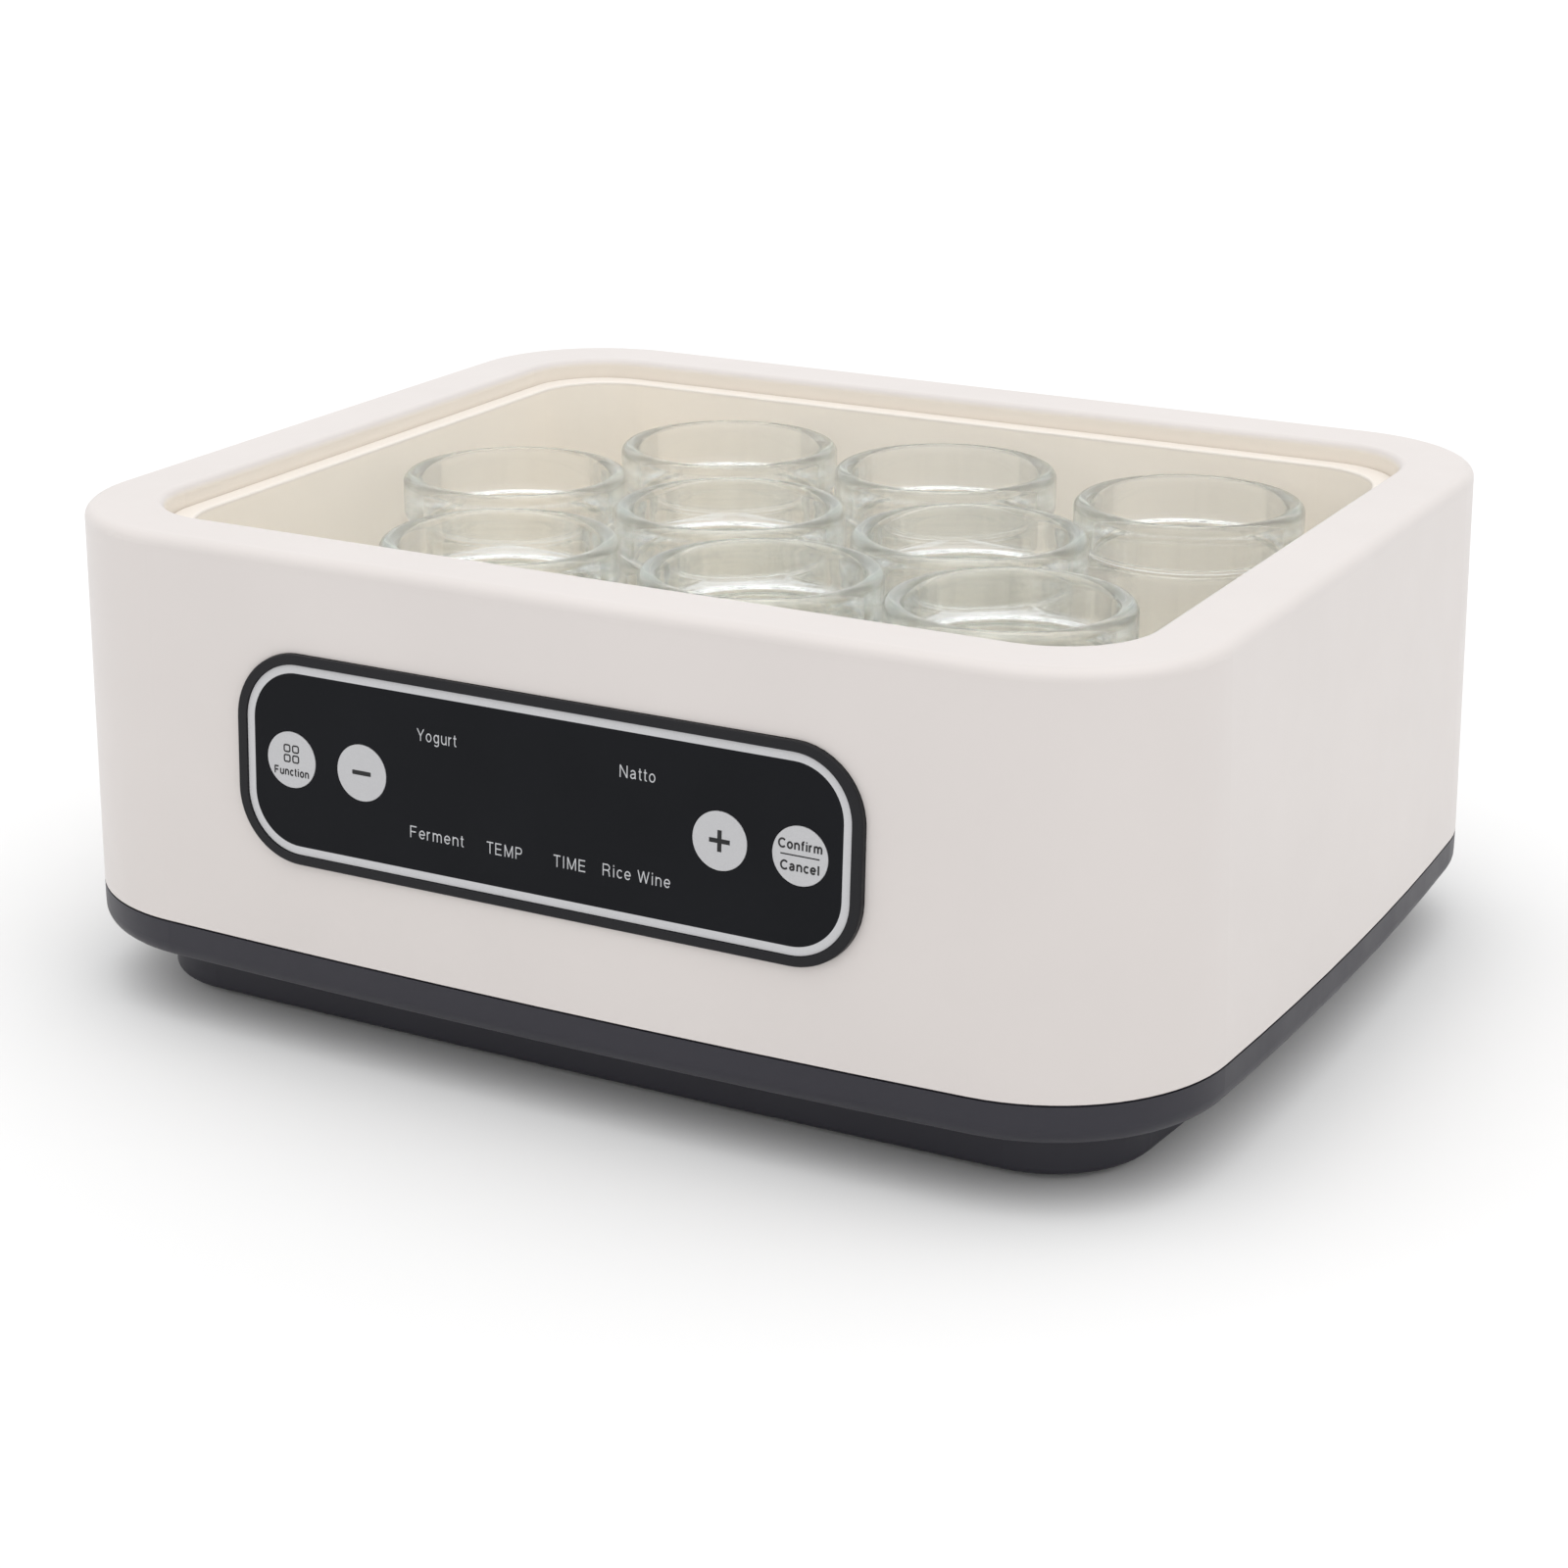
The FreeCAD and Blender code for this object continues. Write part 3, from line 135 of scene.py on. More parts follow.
class NodeBench:
    """Adds and joins the shader nodes of one material."""

    def __init__(self, name: str) -> None:
        """Starts a material with a Principled shader and Object coordinates.

        Args:
            name: Name of the new material.
        """
        self.material = bpy.data.materials.new(name)
        self.material.use_nodes = True
        self.tree = self.material.node_tree
        self.tree.nodes.clear()
        self.output = self.tree.nodes.new("ShaderNodeOutputMaterial")
        self.shader = self.tree.nodes.new("ShaderNodeBsdfPrincipled")
        self.join(self.shader.outputs["BSDF"], self.output.inputs["Surface"])
        self.place = self.tree.nodes.new("ShaderNodeTexCoord").outputs["Object"]

    def join(self, out_socket: Socket, in_socket: Socket) -> None:
        """Links one socket to another."""
        self.tree.links.new(out_socket, in_socket)

    def set(self, **values: object) -> None:
        """Sets shader sockets, with spaces in their names written as underscores."""
        for name, value in values.items():
            self.shader.inputs[name.replace("_", " ")].default_value = value

    def stretched(self, scale: Sequence[float]) -> Socket:
        """Object coordinates scaled along each axis.

        Args:
            scale: Scale along X, Y and Z.

        Returns:
            The socket with the scaled coordinates.
        """
        mapping = self.tree.nodes.new("ShaderNodeMapping")
        mapping.inputs["Scale"].default_value = scale
        self.join(self.place, mapping.inputs["Vector"])
        return mapping.outputs["Vector"]

    def noise(
        self,
        size: float,
        detail: float = 3.0,
        roughness: float = 0.5,
        place: Optional[Socket] = None,
    ) -> Socket:
        """Soft random variation.

        Args:
            size: Size of its patches in metres.
            detail: How many finer layers it has.
            roughness: How strong the finer layers are.
            place: Coordinates to use instead of the plain ones.

        Returns:
            The socket with a value about 0.5.
        """
        node = self.tree.nodes.new("ShaderNodeTexNoise")
        node.inputs["Scale"].default_value = 1.0 / size
        node.inputs["Detail"].default_value = detail
        node.inputs["Roughness"].default_value = roughness
        self.join(place or self.place, node.inputs["Vector"])
        return node.outputs["Fac"]

    def cells(self, size: float) -> Socket:
        """Distance to the nearest of many scattered points, in cells of a size."""
        node = self.tree.nodes.new("ShaderNodeTexVoronoi")
        node.inputs["Scale"].default_value = 1.0 / size
        self.join(self.place, node.inputs["Vector"])
        return node.outputs["Distance"]

    def stripes(self, pitch: float, axis: str) -> Socket:
        """Even soft bands across one axis.

        Args:
            pitch: Distance from band to band in metres.
            axis: X, Y or Z.

        Returns:
            The socket with a value from 0 to 1.
        """
        node = self.tree.nodes.new("ShaderNodeTexWave")
        node.bands_direction = axis
        node.inputs["Scale"].default_value = math.pi / (10 * pitch)
        self.join(self.place, node.inputs["Vector"])
        return node.outputs["Fac"]

    def between(
        self, value: Socket, low: float, high: float,
        start: float = 0.3, end: float = 0.7,
    ) -> Socket:
        """A value spread between two limits.

        Args:
            value: The socket to read.
            low: Result at the start value.
            high: Result at the end value.
            start: Value that gives low.
            end: Value that gives high.

        Returns:
            The socket with the result.
        """
        node = self.tree.nodes.new("ShaderNodeMapRange")
        node.inputs["From Min"].default_value = start
        node.inputs["From Max"].default_value = end
        node.inputs["To Min"].default_value = low
        node.inputs["To Max"].default_value = high
        self.join(value, node.inputs["Value"])
        return node.outputs["Result"]

    def mottled(
        self, value: Socket, base: Colour, first: float, second: float,
        start: float = 0.3, end: float = 0.7,
    ) -> Socket:
        """A colour between two tones of it, by a value.

        Args:
            value: The socket to read.
            base: The colour.
            first: How light it is at the start value.
            second: How light it is at the end value.
            start: Value that gives the first tone.
            end: Value that gives the second tone.

        Returns:
            The socket with the colour.
        """
        node = self.tree.nodes.new("ShaderNodeValToRGB")
        tones = node.color_ramp.elements
        tones[0].position, tones[0].color = start, shaded(base, first)
        tones[1].position, tones[1].color = end, shaded(base, second)
        self.join(value, node.inputs["Fac"])
        return node.outputs["Color"]

    def math(self, operation: str, first: Socket, second: Socket) -> Socket:
        """The result of an operation on two values."""
        node = self.tree.nodes.new("ShaderNodeMath")
        node.operation = operation
        self.join(first, node.inputs[0])
        self.join(second, node.inputs[1])
        return node.outputs["Value"]

    def mixed(
        self, share: Socket, colour: Socket, other: Sequence[float],
    ) -> Socket:
        """A colour that gives way to another one.

        Args:
            share: The socket with the other colour's share.
            colour: The socket with the first colour.
            other: The other colour.

        Returns:
            The socket with the colour.
        """
        mix = self.tree.nodes.new("ShaderNodeMix")
        mix.data_type = "RGBA"
        share_in, colour_in, other_in = mix.inputs[0], mix.inputs[6], mix.inputs[7]
        self.join(share, share_in)
        self.join(colour, colour_in)
        other_in.default_value = other
        return mix.outputs[2]

    def inside(self, zone: "Zone") -> Socket:
        """One inside a box-shaped zone and nothing outside it.

        Args:
            zone: The zone.

        Returns:
            The socket with the share.
        """
        vectors = {}
        for operation in ("SUBTRACT", "ABSOLUTE"):
            vectors[operation] = self.tree.nodes.new("ShaderNodeVectorMath")
            vectors[operation].operation = operation
        self.join(self.place, vectors["SUBTRACT"].inputs[0])
        vectors["SUBTRACT"].inputs[1].default_value = zone.centre
        self.join(vectors["SUBTRACT"].outputs["Vector"], vectors["ABSOLUTE"].inputs[0])
        split = self.tree.nodes.new("ShaderNodeSeparateXYZ")
        self.join(vectors["ABSOLUTE"].outputs["Vector"], split.inputs["Vector"])
        shares = [
            self.between(split.outputs[axis], 1.0, 0.0, half - zone.soft, half)
            for axis, half in zip("XYZ", zone.half)
        ]
        return self.math("MULTIPLY", self.math("MULTIPLY", shares[0], shares[1]), shares[2])

    def let_lamps_through(self, clearness: float) -> None:
        """Lets the light of lamps pass straight through the shader to what is behind it.

        Args:
            clearness: How much of what is behind shows straight through to the eye as well.
        """
        mix = self.tree.nodes.new("ShaderNodeMixShader")
        rays = self.tree.nodes.new("ShaderNodeLightPath")
        clear = self.tree.nodes.new("ShaderNodeBsdfTransparent")
        share = self.between(rays.outputs["Is Shadow Ray"], clearness, 1.0, 0.0, 1.0)
        self.join(share, mix.inputs[0])
        self.join(self.shader.outputs["BSDF"], mix.inputs[1])
        self.join(clear.outputs["BSDF"], mix.inputs[2])
        self.join(mix.outputs["Shader"], self.output.inputs["Surface"])

    def colour(self, socket: Socket) -> None:
        """Uses a socket as the base colour."""
        self.join(socket, self.shader.inputs["Base Color"])

    def gloss(
        self, value: Socket, low: float, high: float, start: float = 0.3, end: float = 0.7,
    ) -> None:
        """Uses a value as the roughness.

        Args:
            value: The socket to read.
            low: Roughness at the start value.
            high: Roughness at the end value.
            start: Value that gives the low roughness.
            end: Value that gives the high roughness.
        """
        self.join(self.between(value, low, high, start, end), self.shader.inputs["Roughness"])

    def relief(
        self, height: Socket, depth: float, strength: float = 1.0, under: Optional[Socket] = None,
    ) -> Socket:
        """Uses a socket as surface relief.

        Args:
            height: The socket with the height, from 0 to 1.
            depth: Real height of the relief in metres.
            strength: How much of it shows.
            under: A coarser relief that this one lies on.

        Returns:
            The socket with the normal.
        """
        node = self.tree.nodes.new("ShaderNodeBump")
        node.inputs["Strength"].default_value = strength
        node.inputs["Distance"].default_value = depth
        self.join(height, node.inputs["Height"])
        if under:
            self.join(under, node.inputs["Normal"])
        self.join(node.outputs["Normal"], self.shader.inputs["Normal"])
        return node.outputs["Normal"]


class Finish(Protocol):
    """Anything that can make its material."""

    name: str

    def material(self) -> bpy.types.Material:
        """Makes the material."""


@dataclass(frozen=True)
class Zone:
    """A box-shaped part of a moulding painted a lighter or darker tone of it, as painted light or painted shade.
    """

    colour: Colour
    centre: tuple[float, float, float]
    half: tuple[float, float, float]
    soft: float


@dataclass(frozen=True)
class MouldedPlastic:
    """Injection-moulded plastic with a spark-eroded satin grain."""

    name: str
    base: Colour
    roughness: float = 0.42
    specular: float = 0.5
    grain_size: float = 0.45 * MM
    grain_depth: float = 0.012 * MM
    mottle: float = 0.012
    mottle_size: float = 45 * MM
    zone: Optional[Zone] = None
    patch_size: float = 12 * MM
    gloss_spread: float = 0.03
    wave_size: float = 28 * MM
    wave_depth: float = 0.05 * MM

    def material(self) -> bpy.types.Material:
        """Makes the plastic: faint flow marks, uneven gloss and a fine grain."""
        bench = NodeBench(self.name)
        flow = bench.noise(self.mottle_size, 2.0)
        colour = bench.mottled(flow, self.base, 1 - self.mottle, 1 + self.mottle)
        # Painted light and shade: the zone paints another tone of the same cream over part of the moulding.
        if self.zone:
            colour = bench.mixed(bench.inside(self.zone), colour, (*self.zone.colour, 1.0))
        bench.colour(colour)
        patches = bench.noise(self.patch_size, 4.0, 0.6)
        bench.gloss(patches, self.roughness - self.gloss_spread, self.roughness + self.gloss_spread)
        waves = bench.relief(bench.noise(self.wave_size, 1.0), self.wave_depth, 0.25)
        bench.relief(bench.noise(self.grain_size, 2.0, 0.6), self.grain_depth, 0.5, waves)
        bench.set(Specular_IOR_Level=self.specular)
        return bench.material


@dataclass(frozen=True)
class GlossFilm:
    """Back-printed glossy film over black ink."""

    name: str
    base: Colour
    roughness: float = 0.10
    specular: float = 0.07
    cloud_size: float = 30 * MM
    cloud: float = 0.08
    mark_size: float = 9 * MM
    mark_roughness: float = 0.05
    peel_size: float = 5 * MM
    peel_depth: float = 0.01 * MM

    def material(self) -> bpy.types.Material:
        """Makes the film: clouded ink, handling marks and slight orange peel."""
        bench = NodeBench(self.name)
        cloud = bench.noise(self.cloud_size, 3.0)
        bench.colour(bench.mottled(cloud, self.base, 1 - self.cloud, 1 + self.cloud))
        marks = bench.noise(self.mark_size, 6.0, 0.65)
        bench.gloss(marks, self.roughness, self.roughness + self.mark_roughness, 0.45, 0.75)
        bench.relief(bench.noise(self.peel_size, 2.0), self.peel_depth, 0.12)
        bench.set(Specular_IOR_Level=self.specular)
        return bench.material


@dataclass(frozen=True)
class ScreenInk:
    """Screen-printed ink, a little uneven where the mesh laid it down."""

    name: str
    base: Colour
    roughness: float = 0.38
    specular: float = 0.4
    mesh_size: float = 0.25 * MM
    mesh_depth: float = 0.006 * MM
    patch_size: float = 1.5 * MM

    def material(self) -> bpy.types.Material:
        """Makes the ink: fine uneven cover and a slightly raised grain."""
        bench = NodeBench(self.name)
        cover = bench.noise(self.mesh_size, 2.0, 0.6)
        bench.colour(bench.mottled(cover, self.base, 0.95, 1.03))
        patches = bench.noise(self.patch_size, 3.0)
        bench.gloss(patches, self.roughness - 0.04, self.roughness + 0.05)
        bench.relief(cover, self.mesh_depth, 0.4)
        bench.set(Specular_IOR_Level=self.specular)
        return bench.material


@dataclass(frozen=True)
class PressedGlass:
    """Soda-lime glass, green at its edges, with the soft waves of a mould."""

    name: str
    edge_tint: Colour = (0.45, 0.96, 0.92)
    tint_density: float = 4.0
    bending: float = 1.45
    clearness: float = 0.27
    wide_ripple: float = 16 * MM
    wide_depth: float = 0.09 * MM
    fine_ripple: float = 5 * MM
    fine_depth: float = 0.03 * MM

    def material(self) -> bpy.types.Material:
        """Makes the glass: clear, with mould ripples and a tint that grows with depth."""
        bench = NodeBench(self.name)
        bench.set(
            Base_Color=(1.0, 1.0, 1.0, 1.0),
            Roughness=0.0,
            IOR=self.bending,
            Transmission_Weight=1.0,
        )
        wide = bench.relief(bench.noise(self.wide_ripple, 1.0), self.wide_depth, 0.5)
        bench.relief(bench.noise(self.fine_ripple, 2.0), self.fine_depth, 0.25, wide)
        bench.let_lamps_through(self.clearness)
        depth = bench.tree.nodes.new("ShaderNodeVolumeAbsorption")
        depth.inputs["Color"].default_value = (*self.edge_tint, 1.0)
        depth.inputs["Density"].default_value = self.tint_density
        bench.join(depth.outputs["Volume"], bench.output.inputs["Volume"])
        return bench.material


@dataclass(frozen=True)
class ClearPlastic:
    """Clear moulded acrylic or lamp resin."""

    name: str
    base: Colour
    bending: float = 1.49
    transmission: float = 0.85
    haze_size: float = 2 * MM
    wave_size: float = 3 * MM
    wave_depth: float = 0.02 * MM

    def material(self) -> bpy.types.Material:
        """Makes the plastic: clear, faintly hazy and slightly wavy."""
        bench = NodeBench(self.name)
        haze = bench.noise(self.haze_size, 3.0)
        bench.colour(bench.mottled(haze, self.base, 0.96, 1.0))
        bench.gloss(haze, 0.05, 0.14)
        bench.relief(bench.noise(self.wave_size, 1.0), self.wave_depth, 0.3)
        bench.set(IOR=self.bending, Transmission_Weight=self.transmission)
        return bench.material


@dataclass(frozen=True)
class DrawnMetal:
    """Metal with the fine lines of rolling or drawing."""

    name: str
    base: Colour
    roughness: float = 0.3
    line_axis: tuple[float, float, float] = (1.0, 12.0, 12.0)
    line_size: float = 2.5 * MM
    line_depth: float = 0.01 * MM
    tarnish_size: float = 9 * MM

    def material(self) -> bpy.types.Material:
        """Makes the metal: lines along one axis and uneven tarnish."""
        bench = NodeBench(self.name)
        lines = bench.noise(self.line_size, 4.0, 0.6, bench.stretched(self.line_axis))
        tarnish = bench.noise(self.tarnish_size, 4.0, 0.6)
        bench.colour(bench.mottled(tarnish, self.base, 0.88, 1.05))
        bench.gloss(lines, self.roughness - 0.08, self.roughness + 0.1)
        bench.relief(lines, self.line_depth, 0.4)
        bench.set(Metallic=1.0)
        return bench.material


@dataclass(frozen=True)
class SolderMask:
    """Green circuit board with tracks under its mask and tinned holes."""

    name: str
    base: Colour
    tinned: Colour = (0.62, 0.60, 0.55)
    track_length: float = 9.0 * MM
    track_pitch: float = 2.2 * MM
    track_width: float = 0.35 * MM
    track_height: float = 0.03 * MM
    hole_pitch: float = 3.4 * MM
    patch_size: float = 6 * MM

    def material(self) -> bpy.types.Material:
        """Makes the board: raised lighter tracks, bright holes and a glossy mask."""
        bench = NodeBench(self.name)
        brick = bench.tree.nodes.new("ShaderNodeTexBrick")
        brick.inputs["Scale"].default_value = 1.0
        brick.inputs["Brick Width"].default_value = self.track_length
        brick.inputs["Row Height"].default_value = self.track_pitch
        brick.inputs["Mortar Size"].default_value = self.track_width
        brick.inputs["Mortar Smooth"].default_value = 0.2
        bench.join(bench.place, brick.inputs["Vector"])
        tracks = bench.mottled(brick.outputs["Fac"], self.base, 0.8, 1.7, 0.2, 0.8)
        holes = bench.between(bench.cells(self.hole_pitch), 1.0, 0.0, 0.10, 0.13)
        bench.colour(bench.mixed(holes, tracks, (*self.tinned, 1.0)))
        bench.gloss(bench.noise(self.patch_size), 0.22, 0.34)
        bench.relief(brick.outputs["Fac"], self.track_height, 0.6)
        return bench.material


@dataclass(frozen=True)
class BandedPart:
    """A part with even bands: laminated iron, ribbon cable or printed sleeve."""

    name: str
    base: Colour
    pitch: float
    axis: str = "X"
    contrast: float = 0.18
    roughness: float = 0.45
    depth: float = 0.06 * MM
    gloss_spread: float = 0.06
    patch_size: float = 4 * MM
    fine_size: float = 0.5 * MM
    fine_depth: float = 0.01 * MM

    def material(self) -> bpy.types.Material:
        """Makes the part: bands in colour and relief over a fine mottle."""
        bench = NodeBench(self.name)
        bands = bench.stripes(self.pitch, self.axis)
        bench.colour(bench.mottled(bands, self.base, 1 - self.contrast, 1 + self.contrast))
        patches = bench.noise(self.patch_size)
        bench.gloss(patches, self.roughness - self.gloss_spread, self.roughness + self.gloss_spread)
        fine = bench.relief(bench.noise(self.fine_size, 2.0), self.fine_depth, 0.4)
        bench.relief(bands, self.depth, 0.7, fine)
        return bench.material


@dataclass(frozen=True)
class PressedFelt:
    """Matted fibre felt."""

    name: str
    base: Colour
    fibre_size: float = 1.2 * MM
    fibre_depth: float = 0.2 * MM
    hollow_size: float = 1.4 * MM
    hollow_depth: float = 0.25 * MM
    fibre_stretch: float = 6.0

    def material(self) -> bpy.types.Material:
        """Makes the felt: crossed fibres, soft hollows and a dry sheen."""
        bench = NodeBench(self.name)
        thin = self.fibre_stretch
        along = bench.noise(self.fibre_size, 5.0, 0.7, bench.stretched((1.0, thin, thin)))
        across = bench.noise(self.hollow_size, 5.0, 0.7, bench.stretched((thin, 1.0, thin)))
        bench.colour(bench.mottled(along, self.base, 0.82, 1.06))
        hollow = bench.relief(across, self.hollow_depth, 0.7)
        bench.relief(along, self.fibre_depth, 0.7, hollow)
        bench.set(Roughness=0.95, Sheen_Weight=0.3, Sheen_Roughness=0.6)
        return bench.material


CREAM = tone(208, 202, 199)
# Painted light: the tub's cream is the shell's cream painted much lighter, standing in for light reaching deep
# into the tub.
CREAM_TUB_PAINTED_LIGHT = tone(244, 236, 224)
# Painted shade: the tub's ledge and top are painted darker than the rest of the tub, holding back the full
# overhead light on them.
CREAM_LEDGE_PAINTED_SHADE = tone(226, 219, 211)
# Painted light: the shell's short inner wall under the rim is painted lighter, near the tub's tone.
CREAM_RIM_WALL_PAINTED_LIGHT = tone(230, 222, 211)
# Zone of painted shade over the tub's ledge and top.
LEDGE_PAINTED_SHADE_ZONE = Zone(CREAM_LEDGE_PAINTED_SHADE, (0.0, 0.0, 0.1215), (0.2, 0.2, 0.0061), 0.7 * MM)
# Zone of painted light on the shell's inner rim wall.
RIM_WALL_PAINTED_LIGHT_ZONE = Zone(CREAM_RIM_WALL_PAINTED_LIGHT, (0.0, 0.0, 0.1160), (0.1290, 0.1035, 0.0050), 1.2 * MM)

FINISHES: dict[Slot, Finish] = {
    # The shell's cream carries painted light on its inner rim wall.
    Slot.CREAM_SHELL: MouldedPlastic("satin_cream", CREAM, 0.36, 0.42, zone=RIM_WALL_PAINTED_LIGHT_ZONE),
    # The tub's finish is the shell's cream painted lighter as painted light, with painted shade over its ledge.
    Slot.CREAM_TUB: MouldedPlastic("satin_cream_painted_light", CREAM_TUB_PAINTED_LIGHT, 0.34, 0.42, zone=LEDGE_PAINTED_SHADE_ZONE),
    Slot.CHARCOAL_BASE: MouldedPlastic("satin_charcoal", tone(45, 44, 51), 0.42, 0.3, mottle=0.03),
    Slot.FOOT_RUBBER: MouldedPlastic(
        "foot_rubber", tone(28, 28, 30), 0.75, 0.3, 0.8 * MM, 0.05 * MM, 0.08,
    ),
    Slot.BEZEL_BLACK: MouldedPlastic("satin_black", tone(27, 27, 30), 0.4, 0.2, mottle=0.03),
    Slot.FILM_BLACK: GlossFilm("black_film", tone(23, 24, 27)),
    Slot.KEY_GREY: ScreenInk("key_silver", tone(183, 183, 185)),
    Slot.JAR_GLASS: PressedGlass("jar_glass"),
    Slot.HEATER_ALUMINIUM: DrawnMetal("rolled_aluminium", (0.80, 0.80, 0.81), 0.34),
    Slot.HEATER_SLEEVE: MouldedPlastic(
        "silicone_red", (0.45, 0.09, 0.05), 0.5, 0.4, 1.0 * MM, 0.03 * MM, 0.06,
    ),
    Slot.INSULATION_FELT: PressedFelt("grey_felt", (0.62, 0.60, 0.55)),
    Slot.CIRCUIT_BOARD: SolderMask("solder_mask", (0.015, 0.13, 0.055)),
    Slot.COMPONENT_BLACK: MouldedPlastic(
        "moulded_black", tone(30, 30, 32), 0.42, 0.4, 0.35 * MM, 0.015 * MM, 0.05,
    ),
    Slot.CONNECTOR_WHITE: MouldedPlastic(
        "nylon_white", tone(236, 233, 222), 0.38, 0.5, mottle=0.02,
    ),
    Slot.RELAY_BLUE: MouldedPlastic("relay_blue", tone(38, 88, 180), 0.25, 0.5, mottle=0.03),
    Slot.CAPACITOR_SLEEVE: BandedPart(
        "shrink_sleeve", tone(32, 34, 58), 7 * MM, "Z", 0.35, 0.3, 0.01 * MM,
    ),
    Slot.TRANSFORMER_CORE: BandedPart("laminated_core", tone(92, 84, 80), 0.5 * MM, "Y", 0.22, 0.5),
    Slot.FUSE_GLASS: ClearPlastic("fuse_tube", (0.86, 0.88, 0.86)),
    Slot.LED_CLEAR: ClearPlastic("lamp_resin", (0.95, 0.93, 0.84)),
    Slot.PIPE_CLEAR: ClearPlastic("clear_acrylic", (0.95, 0.96, 0.97)),
    Slot.SCREW_STEEL: DrawnMetal("zinc_plate", (0.66, 0.66, 0.68), 0.32, (6.0, 6.0, 1.0)),
    Slot.CONTACT_BRASS: DrawnMetal("tinned_brass", (0.80, 0.70, 0.48), 0.28),
    Slot.LEAD_SLEEVE: BandedPart(
        "silicone_sleeve", tone(214, 210, 200), 0.8 * MM, "X", 0.05, 0.55, 0.01 * MM,
    ),
    Slot.RIBBON_GREY: BandedPart("ribbon_cable", tone(186, 188, 192), 1.27 * MM, "X", 0.14, 0.4),
}


@dataclass
class Paintshop:
    """Makes each finish once and dresses nodes and new pieces with it."""

    made: dict[str, bpy.types.Material] = field(default_factory=dict)

    def get(self, finish: Finish) -> bpy.types.Material:
        """The material of a finish, made the first time it is asked for."""
        if finish.name not in self.made:
            self.made[finish.name] = finish.material()
        return self.made[finish.name]

    def dress_nodes(self, record: dict, nodes: dict[str, Piece]) -> int:
        """Gives every node of the model the finish of its slot.

        Args:
            record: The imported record.
            nodes: The model's objects by node name.

        Returns:
            How many nodes were dressed.
        """
        slots = {part["node"]: part["material_slot"] for part in record["subparts"]}
        for name, node in nodes.items():
            finish = FINISHES[Slot(slots[name])]
            for material_slot in node.material_slots:
                material_slot.material = self.get(finish)
        return len(nodes)

    def dress(self, piece: Piece, finish: Finish, slot: Slot, body: str) -> Piece:
        """Gives a new piece its finish and the body it rides on.

        Args:
            piece: The new piece, already in place.
            finish: Its finish.
            slot: The material slot that the finish belongs to. Not used.
            body: Name of the body.

        Returns:
            The piece.
        """
        piece.data.materials.clear()
        piece.data.materials.append(self.get(finish))
        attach(piece, body)
        return piece


# ------------------------------------------------------------------ shaping


def finished(shape: Shape, name: str, place: Matrix, smooth: bool = True) -> Piece:
    """Turns a bmesh into an object at the origin, with its place in its mesh.

    Args:
        shape: The bmesh, which is freed.
        name: Name of the piece.
        place: Where it goes.
        smooth: Whether its faces are shaded smooth.

    Returns:
        The new object.
    """
    bmesh.ops.transform(shape, matrix=place, verts=shape.verts)
    for face in shape.faces:
        face.smooth = smooth
    mesh = bpy.data.meshes.new(name)
    shape.to_mesh(mesh)
    shape.free()
    piece = bpy.data.objects.new(name, mesh)
    bpy.context.scene.collection.objects.link(piece)
    return piece


def even_shading(piece: Piece) -> None:
    """Keeps flat faces flat-looking beside their rounded edges."""
    modifier = piece.modifiers.new("even_shading", "WEIGHTED_NORMAL")
    modifier.keep_sharp = True
    modifier.weight = 60


def rounded_plate(half_x: float, half_y: float, radius: float, segments: int = 16) -> Shape:
    """A flat face in the XY plane with round corners.

    Args:
        half_x: Half its length.
        half_y: Half its height.
        radius: Corner radius.
        segments: Steps in each corner.

    Returns:
        A bmesh with the one face.
    """
    shape = bmesh.new()
    bmesh.ops.create_grid(shape, x_segments=1, y_segments=1, size=1.0)
    bmesh.ops.scale(shape, vec=(half_x, half_y, 1.0), verts=shape.verts)
    bmesh.ops.bevel(
        shape, geom=shape.verts[:], offset=radius, offset_type="OFFSET", segments=segments,
        profile=0.5, affect="VERTICES", clamp_overlap=False, material=-1,
    )
    bmesh.ops.recalc_face_normals(shape, faces=shape.faces)
    return shape


def new_verts(geometry: Sequence[object]) -> list[bmesh.types.BMVert]:
    """The vertices among the results of a bmesh operator."""
    return [item for item in geometry if isinstance(item, bmesh.types.BMVert)]


def thicken(shape: Shape, thickness: float) -> None:
    """Gives flat faces in the XY plane a thickness along +Z.

    Args:
        shape: The bmesh, changed in place.
        thickness: The thickness.
    """
    moved = bmesh.ops.extrude_face_region(shape, geom=shape.faces[:])["geom"]
    bmesh.ops.translate(shape, vec=(0, 0, thickness), verts=new_verts(moved))
    bmesh.ops.recalc_face_normals(shape, faces=shape.faces)


def outlined_plate(
    half_x: float, half_y: float, radius: float, width: float, thickness: float,
) -> Shape:
    """A line of even width that follows a rectangle with round corners.

    Args:
        half_x: Half the outside length.
        half_y: Half the outside height.
        radius: Outside corner radius.
        width: Width of the line.
        thickness: Thickness of the line.

    Returns:
        A bmesh with the raised line.
    """
    shape = rounded_plate(half_x, half_y, radius)
    middle = shape.faces[:]
    bmesh.ops.inset_region(
        shape, faces=middle, thickness=width, use_boundary=True, use_even_offset=True,
    )
    bmesh.ops.delete(shape, geom=middle, context="FACES")
    thicken(shape, thickness)
    return shape


